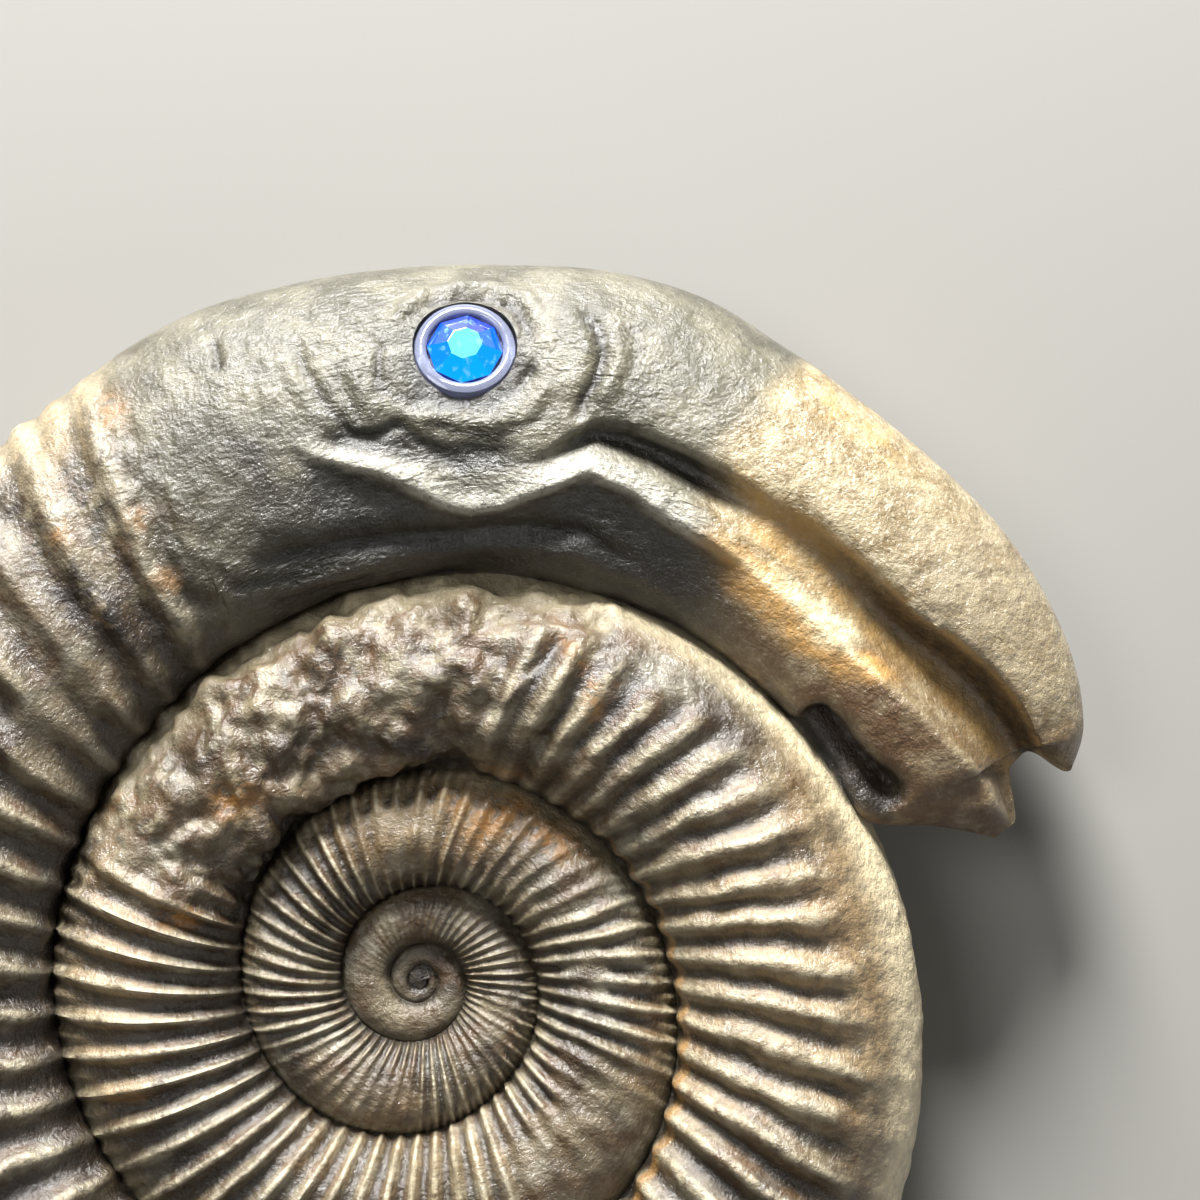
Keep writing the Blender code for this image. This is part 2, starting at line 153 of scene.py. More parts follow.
# The grid of the skin: columns along the coil, rows from each whorl's seam to its venter.
TURN = 1080  # columns a turn where they are closest
START, HEAD, LIFT = -4 * TURN, 692, 1000  # LIFT is where the jaw leaves the whorl under it
EDGE, TOP = 56, 68  # the row where the next whorl covers this one, and the venter's row
FREE = 36  # columns of the free head
FINE = range(-520, -100)  # columns of the broken stretch, with rows as close as the head's

vertex_numbers = {}
vertex_facts = []


def vertex(side, column, row, step=0, under=False):
    """The number of a vertex of the grid. The whorls share their seams, and the two flanks their rim."""
    if step == 0 and (under or (row == 0 and column - TURN >= START)):
        column, row, under = column - TURN, row if under else EDGE, False
    if row == TOP or step == FREE:
        side = 0
    key = (side, column, row, step, under)
    if key not in vertex_numbers:
        vertex_numbers[key] = len(vertex_facts)
        vertex_facts.append((column / TURN, row, 1 - (1 - step / FREE) ** 1.25, under, side))
    return vertex_numbers[key]


def rows_at(side, column):
    if column < -2 * TURN:
        pace = 8
    elif column < -TURN:
        pace = 4
    else:
        pace = 2 if column < HEAD and column not in FINE else 1
    pace = pace if side > 0 else min(2 * pace, 8)
    rows = [(row, False) for row in range(0, EDGE + 1, pace)]
    if column >= LIFT - TURN:
        rows += [(row, False) for row in range(EDGE + pace, TOP + 1, pace)]
    return rows


def columns_of(side):
    columns = list(range(START, -2 * TURN, 4))
    if side < 0:
        return columns + list(range(-2 * TURN, -TURN, 4)) + list(range(-TURN, LIFT + 1, 2))
    return columns + list(range(-2 * TURN, HEAD, 2)) + list(range(HEAD, LIFT + 1))


def strip(side, first, second, between):
    """Faces between two columns, each given as (place, rows). The first's rows are among the second's."""
    place_a, rows_a = first
    place_b, rows_b = second
    made = []
    for low, high in zip(rows_a, rows_a[1:]):
        ring = [place_a(low)]
        ring += between(low)
        ring += [place_b(row) for row in rows_b[rows_b.index(low) : rows_b.index(high) + 1]]
        ring += reversed(between(high))
        ring.append(place_a(high))
        corners = [v for i, v in enumerate(ring) if v not in ring[:i]]
        if len(corners) > 2:
            made.append(corners[:: side])
    return made


def grid_faces(side):
    made = []
    columns = columns_of(side)
    for a, b in zip(columns, columns[1:]):
        def between(row):
            # A seam or a rim can have columns in between that only the skin beyond it uses.
            keys = []
            for column in range(a + 1, b):
                place = (column - TURN, EDGE) if row[0] == 0 and column - TURN >= START else (column, row[0])
                keys.append((0 if row[0] == TOP else side, *place, 0, False))
            return [vertex_numbers[key] for key in keys if key in vertex_numbers]

        first = (lambda row: vertex(side, a, row[0])), rows_at(side, a)
        second = (lambda row: vertex(side, b, row[0])), rows_at(side, b)
        if len(second[1]) < len(first[1]):
            made += [corners[::-1] for corners in strip(side, second, first, lambda row: between(row)[::-1])]
        else:
            made += strip(side, first, second, between)
    # The hole in the middle of the first turn closes on the first chamber.
    ring = [vertex(side, column, 0) for column in columns if column < START + TURN]
    ring += [vertex(side, START, row[0]) for row in reversed(rows_at(side, START)[1:])]
    middle = len(vertex_facts)
    vertex_facts.append((-4.0, -1.0, 0.0, False, side))
    made += [[a, middle, b][:: side] for a, b in zip(ring, ring[1:] + ring[:1])]
    # The free head: its underside starts as the venter of the whorl below.
    steps = list(range(0, FREE + 1, 1 if side > 0 else 2))
    under = [(row, True) for row in range(TOP, EDGE, -2 if side > 0 else -4)]
    rows = under + rows_at(side, LIFT)
    for a, b in zip(steps, steps[1:]):
        def between(row):
            keys = [(0, LIFT, TOP, step, row[1]) for step in range(a + 1, b) if row[0] == TOP]
            return [vertex_numbers[key] for key in keys if key in vertex_numbers]

        rows_b = rows
        if b == FREE and side < 0:
            rows_b = [(row, True) for row in range(TOP, EDGE, -2)] + rows_at(1, LIFT)
        first = (lambda row: vertex(side, LIFT, row[0], a, row[1])), rows
        second = (lambda row: vertex(side, LIFT, row[0], b, row[1])), rows_b
        made += strip(side, first, second, between)
    return made


# All vertices of the front first, so that the back finds those on the rim.
for side in (1, -1):
    for column in columns_of(side):
        for row, _ in rows_at(side, column):
            vertex(side, column, row)
skin_faces = grid_faces(1) + grid_faces(-1)
column, row, along, under, side_of = np.array(vertex_facts, float).T
under = under > 0.5
free = along > 0


def skin_at(column, angle, along, under):
    """Growth, share of the way from seam to seam, and place of the plain skin, on the near flank."""
    share = np.where(
        angle <= 90,
        0.5 * (1 - np.cos(np.radians(angle))),
        0.5 - 0.5 * np.cos(np.radians(angle)) / math.sin(math.radians(COVER_ANGLE)),
    )
    free = along > 0
    growth = column + RIB_LEAN * (column + np.minimum(share, 1.0) * ~under)
    growth = np.where(free, growth + along * (SNOUT_END - growth), growth)
    plain = whorl_skin(growth, np.clip(angle, 0, 180))
    around = np.where(under, angle, np.where(angle <= 90, 90 + (90 - angle) * 65 / 90, 180 - angle))
    beyond = free_jaw_skin(growth, around)
    blend = np.where(under, ease(0, 0.12, along), ease(0, MORPH, along))[..., None]
    start = np.where(under[..., None], whorl_skin(growth - 1, angle), plain)
    return growth, share, np.where(free[..., None], start + blend * (beyond - start), plain)


def line_distance(x, y, line):
    """Of each place: its distance from a line through corners, the share of the line's length there,
    and which side it is on, 1 on the left as the line runs and -1 on the right."""
    corners = np.array(line, float)
    lengths = np.hypot(*(corners[1:] - corners[:-1]).T)
    best = np.full(np.shape(x), 1e9)
    share, side = np.zeros(np.shape(x)), np.ones(np.shape(x))
    done = 0.0
    for (ax, ay), (bx, by), length in zip(corners, corners[1:], lengths):
        u = np.clip(((x - ax) * (bx - ax) + (y - ay) * (by - ay)) / length**2, 0, 1)
        off = np.hypot(x - ax - u * (bx - ax), y - ay - u * (by - ay))
        nearer = off < best
        best = np.where(nearer, off, best)
        share = np.where(nearer, (done + u * length) / lengths.sum(), share)
        cross = (bx - ax) * (y - ay) - (by - ay) * (x - ax)
        side = np.where(nearer, np.where(cross > 0, 1.0, -1.0), side)
        done += length
    return best, share, side


# The two lips of the mouth, as seen from above. The crest of the lower one runs back under the eye.
LIP = [
    (-5.7, 29.4), (-3.4, 28.9), (-0.8, 28.1), (1.5, 26.8), (3.1, 26.4), (4.7, 26.6), (7.2, 27.6), (9.6, 28.5),
    (12.1, 27.3), (13.7, 26.1), (15.6, 25.0), (17.4, 24.0), (19.0, 22.7), (21.1, 21.0), (24.0, 18.4),
    (25.9, 16.8), (28.0, 14.9), (30.3, 12.6), (31.8, 10.9), (32.9, 9.2), (34.2, 6.6),
]
UPPER_LIP = [
    (6.9, 29.4), (8.2, 30.3), (9.8, 31.1), (11.9, 30.8), (13.9, 30.0), (15.7, 29.2), (17.6, 28.2),
    (19.6, 27.0), (21.9, 25.6), (24.0, 24.0), (25.9, 22.3), (27.8, 20.5), (29.6, 19.3), (31.7, 17.7),
    (33.6, 15.4),
    (35.0, 12.7), (36.2, 10.4), (37.4, 8.0),
]
# Rows of the grid run along both lips, so that their edges are clean.
LIP_ROW, UPPER_ROW = 23, 39
probe_column = np.concatenate((np.arange(HEAD, LIFT + 1, 4) / TURN, np.full(40, LIFT / TURN)))
probe_along = np.concatenate((np.zeros(len(probe_column) - 40), np.linspace(0.02, 1, 40)))
probe_angle = np.linspace(1, 179, 179)
grid_of = [np.repeat(values[:, None], 179, axis=1) for values in (probe_column, probe_along)]
probe = skin_at(grid_of[0], probe_angle + 0 * grid_of[0], grid_of[1], np.zeros(grid_of[0].shape, bool))[2]


def angles_along(line, first):
    """Where each column of the head crosses a lip, as an angle of the section."""
    off, _, side = line_distance(probe[..., 0], probe[..., 1], line)
    below = np.where(side < 0, probe_angle, 0).max(axis=1)
    below = np.where((below < 2) | (below > 178), np.nan, below)
    place = probe_column * TURN + 90 * probe_along
    kept = ~np.isnan(below) & (place > first)
    filled = np.interp(place, place[kept], below[kept])
    smooth = np.convolve(np.pad(filled, 3, mode="edge"), np.ones(7) / 7, "valid")
    return np.interp(column * TURN + 90 * along, place, smooth)


lip_angle, upper_angle = angles_along(LIP, 770), angles_along(UPPER_LIP, 840)
even_angle = np.where(row <= EDGE, row * 155 / EDGE, 155 + (row - EDGE) * 25 / (TOP - EDGE))
lip_rows = np.where(
    row <= LIP_ROW,
    lip_angle * row / LIP_ROW,
    np.where(
        row <= UPPER_ROW,
        lip_angle + (upper_angle - lip_angle) * (row - LIP_ROW) / (UPPER_ROW - LIP_ROW),
        upper_angle + (180 - upper_angle) * (row - UPPER_ROW) / (TOP - UPPER_ROW),
    ),
)
to_lips = ease(HEAD, HEAD + 90, column * TURN) * ~under * (row > 0)
angle = even_angle + to_lips * (lip_rows - even_angle)
growth, row_share, skin = skin_at(column, angle, along, under)
skin[row < 0] = (0, 0, 0.32)
skin[:, 2] *= side_of

fossil_mesh = bpy.data.meshes.new("ammonite_stone")
fossil_mesh.from_pydata((skin * MM).tolist(), [], skin_faces)
shape = bmesh.new()
shape.from_mesh(fossil_mesh)
bmesh.ops.recalc_face_normals(shape, faces=shape.faces)
shape.to_mesh(fossil_mesh)
shape.free()
fossil = bpy.data.objects.new("ammonite_stone", fossil_mesh)
bpy.context.scene.collection.objects.link(fossil)


def normals_of(mesh):
    found = np.empty(len(mesh.vertices) * 3, np.float32)
    mesh.vertex_normals.foreach_get("vector", found)
    return found.reshape(-1, 3).astype(float)


def lumps(places, size, octaves=1, shift=0.0):
    """Smooth random heights of about -1 to 1, in lumps of that size in mm."""
    at = (places / size + shift).tolist()
    return np.array([noise.fractal(p, 1.0, 2.0, octaves) for p in at])


def stroke(x, y, line, width, taper=0.15):
    """A rounded stroke along a line, 1 on it and fading over that width, with tapered ends."""
    off, share, _ = line_distance(x, y, line)
    ends = ease(0, taper, share) * (1 - ease(1 - taper, 1, share)) if taper else 1.0
    return np.exp(-((off / width) ** 2)) * ends


# Ribs: narrow rounded ridges with wider grooves, and each splits in two as it goes over the venter.
# They are low where the stone is worn or cemented over, and gone where it broke.
WORN = [
    # growth from and to, share of the whorl's height from and to, how much of the rib is lost
    (-0.46, -0.18, -0.3, 2.0, 1.0), (-0.97, -0.80, 0.1, 2.0, 0.85), (-1.24, -1.04, 0.0, 2.0, 0.6),
    (-2.02, -1.80, 0.0, 0.75, 0.8), (-1.34, -1.20, 0.0, 0.7, 0.85), (-1.78, -1.55, 0.1, 2.0, 0.75),
    (-1.5, -1.42, 0.0, 2.0, 0.4), (-0.24, 0.22, 0.62, 2.0, 0.95), (-0.24, -0.02, 0.0, 0.3, 0.4),
    (0.585, 0.66, 0.0, 2.0, 0.6), (0.56, 0.66, 0.0, 0.35, 0.9), (-1.06, -0.96, 0.1, 0.5, 0.9),
    (0.20, 0.34, 0.55, 2.0, 0.5), (-0.70, -0.62, 0.0, 0.3, 0.5),
]
coarse = lumps(skin, 3.2, 3)
fine = lumps(skin, 1.1, 3, 7.0)
tiny = lumps(skin, 0.55, 2, 51.0)
body = (ease(NECK_START, NECK_END, growth) > 0.5) | free  # the carved head
worn = np.zeros(len(skin))
for low, high, inner, outer, lost in WORN:
    ragged = growth + 0.012 * coarse
    reach = ease(low, low + 0.05, ragged) * (1 - ease(high - 0.05, high, ragged))
    reach *= ease(inner, inner + 0.25, row_share + 0.1 * fine) * (row_share < outer)
    worn = np.maximum(worn, lost * reach)
broken = np.where((growth > -0.55) & (growth < -0.17), worn, 0.35 * worn * (1 - ease(0.5, 0.8, row_share)))
crusted = swell(0.565, 0.72, growth + 0.01 * coarse)
crusted *= ease(0.0, 0.25, row_share) * (1 - ease(0.7, 1.1, row_share))
wander = lumps(np.stack((column * 30, row_share * 2, side_of * 3), axis=-1), 4.0, 2)
bent = 0.35 * swell(-1.22, -0.98, growth) + 0.22 * swell(-0.3, 0.2, growth)
bent = bent * ease(0.0, 0.3, row_share) + 0.12 * swell(0.3, 0.7, growth)
phase = 2 * np.pi * (RIBS_A_TURN * column + 0.1 * wander + bent * lumps(skin, 2.6, 2, 41.0))
narrow_at = [
    (-3, 1.3), (-1.2, 1.6), (-0.9, 1.2), (-0.6, 2.0), (-0.45, 2.2), (-0.2, 1.0), (0.2, 1.1), (0.5, 1.5),
]
single = (0.5 + 0.5 * np.cos(phase)) ** np.interp(growth, *zip(*narrow_at))
double = 0.5 + 0.5 * np.cos(2 * phase + 0.5)
split = 0.75 * ease(118, 150, angle)
rib = single * (1 - split) + double * split
flank_turn = np.radians(np.clip(angle, 0, 90))
window = np.where(angle <= 90, 0.2 + 0.8 * np.sin(flank_turn), 1 - 0.5 * ((angle - 90) / 90) ** 2)
rib_height = RIB_HEIGHT * (seam_radius(growth + 1) - seam_radius(growth)) * window
rib_height *= ease(-2.6, -1.9, growth) * (1 - ease(NECK_START - 0.03, NECK_END - 0.01, growth)) * ~free
rib_height *= 1 - 0.3 * swell(-0.32, 0.12, growth)
rib_height *= 1 + 0.45 * lumps(np.stack((column * 54, row_share * 3, side_of * 9), axis=-1), 1.5, 2)
lift = (rib - 0.5) * rib_height * (1 - 0.95 * worn)

# The broken stone where the ribs are lost, and the finer wear everywhere.
crags = np.abs(lumps(skin * (1.0, 1.3, 1.0), 4.0, 2, 17.0)) - 0.35
creases = 0.3 - np.abs(lumps(skin * (1.3, 1.0, 1.0), 2.1, 2, 61.0))
lift += broken * (0.45 * coarse + 0.9 * crags + 0.5 * creases + 0.1 * fine - 0.2)
lift += crusted * (0.22 * fine + 0.1 * tiny) + 0.035 * tiny * ~body
# The broken stretch ends in a raised ragged edge above the whorl inside it, and at a flake of shell.
whorl_height = seam_radius(growth + 1) - seam_radius(growth)
from_seam = row_share * whorl_height
ledge = swell(-0.50, -0.16, growth) * (1 - ease(1.0, 3.0, from_seam))
lift += 0.75 * ledge * ease(0.1, 0.75, from_seam + 0.35 * coarse)
FLAKE = [(3.3, 13.7), (4.7, 15.9), (6.9, 17.8), (8.8, 19.2), (10.4, 20.6)]
to_flake, flake_share, flake_side = line_distance(skin[:, 0] + 0.5 * coarse, skin[:, 1], FLAKE)
flake = (flake_side < 0) * ease(0.0, 0.3, to_flake) * (1 - ease(1.2, 3.4, to_flake))
lift += 0.5 * flake * swell(-0.25, 1.25, flake_share) * (growth > -0.5) * (growth < 0.0)
# A thread of shell stands along the seam, highest on the side under the jaw.
thread = swell(-0.26, 0.36, growth) + 0.6 * swell(0.36, 0.68, growth)
thread *= np.exp(-(((from_seam - 0.42) / 0.22) ** 2)) * ~free
lift += thread * (0.2 + 0.06 * np.cos(phase))
carved_grain = 0.06 * lumps(skin, 6.0, 2, 3.0) + 0.02 * fine
lift += np.where(body, carved_grain, 0.07 * fine + 0.09 * coarse * ease(-2, -1, growth))

# The carved head. Lines are as seen from above, and the far flank has its mirror image.
warp = 0.22 * np.stack((lumps(skin, 2.4, 2, 11.0), lumps(skin, 2.4, 2, 23.0)), axis=-1)
x, y = skin[:, 0] + warp[:, 0], skin[:, 1] + warp[:, 1]
head = body & (side_of != 0)
to_lip, lip_share, lip_side = line_distance(skin[:, 0], skin[:, 1], LIP)
to_upper, mouth_share, mouth_side = line_distance(skin[:, 0], skin[:, 1], UPPER_LIP)
inside = head & (mouth_side < 0) & (lip_side > 0) & (skin[:, 0] > 6.5) & ~under
across = np.where(inside, to_upper / np.maximum(to_upper + to_lip, 1e-6), 0.0)
open_from = ease(15.0, 22.0, skin[:, 0])
trough = np.where(across < 0.33, ease(-0.08, 0.33, across), 1 - (np.clip(across - 0.33, 0, 1) / 0.67) ** 1.7)
cleft = np.where(across < 0.22, np.sin(np.pi / 2 * across / 0.22), 1 - ease(0.25, 0.8, across))
SHOULDER = 0.3  # how far the rounded upper lip is already down where the mouth starts
depth_at = [(6.5, 0), (9, 0.9), (12, 1.6), (16.5, 1.8), (19.5, 1.2), (23, 1.9), (27, 2.9), (33, 3.2)]
mouth_depth = np.interp(skin[:, 0], *zip(*depth_at))
shoulder = SHOULDER * open_from * ease(6.5, 11.0, skin[:, 0])
profile = cleft + open_from * (trough - cleft)
mouth = np.where(inside, shoulder * (1 - ease(0.5, 1, across)) + (mouth_depth - shoulder) * profile, 0)
mouth += np.where(inside | (mouth_side < 0), 0, shoulder * np.exp(-((to_upper / 1.0) ** 1.5)))
FOLDS = [
    # line, width, height: raised where the height is above 0 and cut where it is below
    (LIP[:13], 0.6, 0.34),
    ([(-5.6, 30.1), (-4, 30.1), (-2.6, 29.9), (-0.8, 29.6), (1.5, 29.1), (4.2, 29.4), (6.4, 29.6)],
     0.8, -0.42),
    ([(-1.9, 35.6), (-2.1, 34.3), (-1.8, 33.0), (-0.8, 32.3), (0.6, 32.2)], 0.22, -0.3),
    ([(-0.8, 32.3), (0.6, 32.2), (2.1, 32.3), (4.4, 32.2), (5.8, 32.9), (6.5, 34), (7, 34.8)], 0.25, -0.32),
    ([(-0.4, 31.5), (2.1, 31.3), (4.6, 31.3), (6.6, 32.1), (7.7, 33.6)], 0.5, 0.2),
    ([(0.2, 30.9), (2.4, 30.5), (4.8, 30.5), (6.8, 31.2), (8.2, 32.4)], 0.28, -0.2),
    ([(2.6, 31.9), (4.0, 31.5), (5.6, 31.7), (6.7, 32.9)], 0.28, -0.18),
    ([(-1.6, 31.4), (0.2, 30.0), (1.8, 28.9), (3.4, 28.2)], 0.28, -0.2),
    ([(3.6, 28.6), (5.4, 28.6), (7.6, 29.0)], 0.3, -0.15),
    ([(9.0, 37.6), (10.0, 36.4), (10.3, 35.0), (10.0, 33.3), (9.3, 32.0), (8.8, 30.9)], 0.33, -0.42),
    ([(9.6, 37.9), (11.0, 36.4), (11.3, 35.0), (10.9, 33.3), (10.1, 32.0)], 0.4, 0.24),
    ([(8.0, 37.4), (8.9, 36.2), (9.2, 35.0), (8.9, 33.4), (8.1, 32.2)], 0.5, 0.2),
    ([(11.6, 37.0), (12.2, 35.8), (12.1, 34.5), (11.3, 33.2)], 0.25, -0.12),
    ([(-6.7, 35.8), (-5.9, 34.1), (-5.1, 32.5), (-3.4, 30.5), (-2.1, 30.2), (-0.8, 30.9), (0.5, 30.7)],
     0.3, -0.3),
    ([(-7.3, 35.2), (-6.4, 33.2), (-5.3, 31.4), (-4.2, 30.4)], 0.35, 0.18),
    ([(-4.4, 34.0), (-3.4, 32.0), (-2.6, 30.9)], 0.28, -0.2),
    ([(-3.6, 34.2), (-2.7, 32.4), (-1.6, 31.4)], 0.35, 0.18),
    ([(-1.8, 36.4), (0.3, 38.2), (2.4, 38.9), (4.2, 38.8), (6.2, 38.0), (7.1, 36.8)], 0.35, 0.3),
    ([(0, 37.5), (1.2, 38.1), (2.6, 38.35), (4.3, 38.1), (5.6, 37.4), (6.4, 36.2), (6.3, 35.2)], 0.32, -0.42),
    ([(-10, 23.3), (-5.4, 24), (-0.8, 24.7), (3.1, 24.6), (6.4, 25.1), (9.6, 24.7), (13, 22.4)], 0.5, -0.42),
    ([(-8.7, 21.6), (-4.2, 23.0), (-0.2, 23.9), (3.4, 23.8), (7.0, 24.2), (10.2, 23.6)], 0.4, 0.24),
    ([(-10.4, 21.9), (-6.7, 22.6), (-3.4, 23.6)], 0.3, -0.25),
    ([(-8.2, 20.9), (-4.6, 21.8), (-2.0, 22.9)], 0.3, -0.25),
    ([(-9.4, 25.4), (-5.0, 25.6), (-0.6, 26.0), (2.0, 25.6)], 0.8, 0.16),
    ([(6.9, 23.3), (10.2, 22.6), (12.9, 21.2), (15.1, 19.6)], 0.45, -0.2),
    # The pit that is left between the end of the jaw and the whorl under it.
    ([(21.2, 15.6), (22.6, 14.1), (24.2, 12.4), (26.0, 10.6), (26.6, 9.6)], 0.8, -2.0),
    ([(-11.2, 35.8), (-10.9, 34.9), (-10.7, 33.8)], 0.3, -0.3),
    ([(26.8, 21.4), (27.3, 22.5), (28.7, 23.2), (30.7, 22.5), (33.0, 23.0)], 0.1, -0.1),
]
carved = np.zeros(len(x))
for line, width, height in FOLDS:
    carved += height * stroke(x, y, line, width)
# A patch of crumpled skin on the neck, and a step down under the lip's crest.
patch = np.exp(-(((x + 9.6) / 2.6) ** 2) - ((y - 33.0) / 1.9) ** 2)
crumple = np.abs(lumps(skin * (1.0, 1.6, 1.0), 1.1, 2, 31.0))
carved += patch * (0.16 - 0.5 * crumple)
under_lip = (lip_side < 0) * ease(0.0, 0.9, to_lip) * (1 - ease(1.5, 6.0, to_lip))
carved -= 0.62 * under_lip * ease(-7.5, -3.5, skin[:, 0]) * (1 - ease(13.0, 20.0, skin[:, 0]))
crest_x = ease(-8.5, -6.0, skin[:, 0]) * (1 - ease(20.0, 34.0, skin[:, 0]))
carved += 0.07 * fine * np.exp(-((to_lip / 1.6) ** 2)) * crest_x
# The skin round the eye is cut down to its rim, most below it.
from_eye = np.hypot(x - 2.9, y - 35.2)
carved -= np.exp(-((from_eye / 3.9) ** 6)) * (0.1 + 0.32 * ease(36.6, 33.2, y))
carved *= head
lift += carved

normal = normals_of(fossil_mesh)
skin += normal * lift[:, None]
shallow = np.minimum(mouth, 0.86 * np.abs(skin[:, 2]))
skin[:, 2] -= np.sign(side_of) * shallow
# It is worn flat where it rests.
skin[:, 2] = np.maximum(skin[:, 2], -REST_DEPTH)
skin[side_of == 0, 2] = 0
placed = (skin + (*AXIS, REST_DEPTH)) * MM
fossil_mesh.vertices.foreach_set("co", placed.ravel())
fossil_mesh.update()

# What the stone's colours follow, kept on its vertices.
plain_x, plain_y = skin[:, 0] + 2.2 * warp[:, 0], skin[:, 1] + 2.2 * warp[:, 1]


def blot(cx, cy, rx, ry, turn, edge):
    """A soft-edged oval patch of another colour."""
    c, s = math.cos(math.radians(turn)), math.sin(math.radians(turn))
    dx, dy = plain_x - cx, plain_y - cy
    off = np.hypot((dx * c + dy * s) / rx, (dy * c - dx * s) / ry)
    return 1 - ease(1 - edge, 1 + edge, off)


def blots(places, edge=0.5):
    """Several blots, each given as x, y, two radii, turn and strength."""
    return np.max([strength * blot(*place, edge) for *place, strength in places], axis=0)


golden_from = np.interp(plain_y, [18, 23, 27, 30, 33, 36], [15.0, 15.6, 16.6, 16.4, 20.0, 23.5])
golden = 0.95 * ease(-1.6, 1.8, plain_x - golden_from + 1.4 * coarse) * body
greyed = blots([(31.5, 21.0, 5.5, 3.6, -50, 0.9), (27.0, 26.0, 3.0, 1.6, -40, 0.4)], 0.6) * body
honey = blots([(24.6, 31.5, 3.6, 1.5, -45, 0.9), (18.5, 27.6, 1.6, 0.8, -30, 0.9)], 0.6) * body
outside_lip = body & (lip_side < 0) & (skin[:, 0] > 10)
jaw_brown = ease(20.5, 24.5, plain_x) + 0.85 * ease(1.2, 3.0, to_lip) * ease(14, 18, plain_x)
sepia = np.where(outside_lip, jaw_brown, 0)
sepia = np.maximum(sepia, inside * ease(22.0, 25.0, plain_x) * ease(0.35, 0.6, across) * 0.7)
snout_brown = blots([(36.6, 11.5, 2.0, 3.2, 10, 0.8), (32.8, 15.0, 1.2, 4.2, 38, 0.9)])
sepia = np.maximum(np.clip(sepia, 0, 1), snout_brown) * body
orange = blots([
    (18.6, 22.2, 3.2, 1.1, -42, 1.0), (21.4, 19.7, 2.2, 1.0, -45, 1.0), (24.4, 17.6, 1.8, 0.8, -15, 0.9),
]) * body
# A painted highlight along the crest of the lower lip on the snout, joined to the pale patches.
painted_lip_crest_highlight = np.exp(-((to_lip / 0.28) ** 2)) * ease(16, 19, plain_x) * (1 - 0.7 * ease(23, 26, plain_x))
cream = blots([(22.6, 20.0, 1.6, 1.0, -35, 1.0), (20.6, 21.8, 1.4, 0.5, -45, 0.7)])
cream = np.maximum(cream, 0.8 * painted_lip_crest_highlight) * body
amber = inside * ease(17.0, 19.0, plain_x) * (1 - ease(0.5, 0.8, across))
# Painted shade on the upper side of the mouth's channel, under the overhanging upper lip.
painted_channel_shade = inside * ease(20.0, 26.0, plain_x) * ease(0.02, 0.1, across) * (1 - ease(0.2, 0.5, across))
ochre = blots([
    (-12.9, 3.9, 1.0, 0.5, 0, 1), (-9.8, 10.3, 1.3, 1.0, 0, 1), (9.6, 15.8, 0.5, 1.2, 0, 0.9),
    (4.4, 9.4, 1.9, 1.0, 20, 1.0), (7.4, 8.0, 1.2, 0.7, -40, 0.9), (2.2, 10.2, 1.0, 0.8, 0, 0.6),
    (5.2, 11.8, 2.4, 0.5, 0, 0.5), (-19.2, 24.9, 0.6, 0.6, 0, 0.8), (-16.7, 31.6, 1.0, 0.8, 0, 0.6),
    (-15.0, 25.7, 0.7, 0.6, 0, 0.6), (-13.6, 22.2, 0.8, 0.7, 0, 0.5), (-16.4, 20.2, 0.9, 0.6, 0, 0.5),
    (-18.0, 9.5, 2.0, 0.8, 30, 0.6), (-16.0, -6.0, 1.2, 0.5, 0, 0.7), (8.6, 18.6, 0.5, 1.6, 30, 0.5),
], 0.7)
tan = blots([
    (22.0, 2.0, 6.0, 9.0, 12, 0.8), (19.0, -3.0, 6.0, 5.0, 0, 0.6), (-20.5, 31.0, 3.6, 3.0, 40, 0.9),
    (0.0, 9.5, 7.5, 2.6, 0, 0.6), (-16.6, 0.0, 2.6, 7.0, 0, 0.7), (0.0, -9.0, 7.0, 3.0, 0, 0.4),
], 0.7)
# Black-brown crust in blots; those along the raised broken edge above the inner whorl are painted shadow
# under that edge.
crust_and_painted_shadow = blots([
    (-17.0, 20.6, 4.2, 1.5, -35, 1.0), (-13.2, 17.4, 2.6, 1.0, 45, 0.9), (-19.0, 6.0, 1.0, 6.0, -14, 0.9),
    (-19.6, -5.0, 0.8, 5.0, 12, 0.8), (-12.0, 12.6, 2.2, 1.0, 50, 0.7), (-6.4, 14.0, 2.6, 0.9, 30, 0.6),
    (0.6, 13.2, 3.0, 0.7, -5, 0.9), (6.0, 12.4, 2.4, 0.6, -35, 0.8), (-8.0, 8.8, 1.2, 0.9, 45, 0.8),
    (-22.5, 27.0, 2.4, 1.2, 60, 0.7), (-22.0, 14.0, 2.4, 1.4, 20, 0.7), (4.6, 3.0, 1.6, 0.8, -50, 0.6),
    (8.6, -2.0, 1.0, 3.0, 10, 0.5), (17.0, 14.5, 2.6, 0.6, -45, 0.5), (1.4, 1.6, 1.0, 0.6, 0, 0.6),
    (-3.6, 4.6, 1.4, 0.5, 30, 0.5),
], 0.7) * ~body
crusty = swell(0.30, 0.80, growth) + swell(-0.70, -0.20, growth)
# Darkened along the seams: a narrow band of painted shade where a whorl meets or covers another, widened into
# real dark crust where crusty is high.
seam_crust_and_shade = np.exp(-((from_seam / (0.2 + 1.5 * crusty + 0.25 * crusty * coarse)) ** 2)) * ~free
covered = column < LIFT / TURN - 1  # where the next whorl lies over this one's venter
seam_crust_and_shade += 0.8 * np.exp(-(((whorl_height - from_seam) / 0.2) ** 2)) * covered
ribbed = np.clip(rib_height / 0.3, 0, 1) * (1 - worn)
relief = np.clip(rib * ribbed + 0.45 * (1 - ribbed), 0, 1)
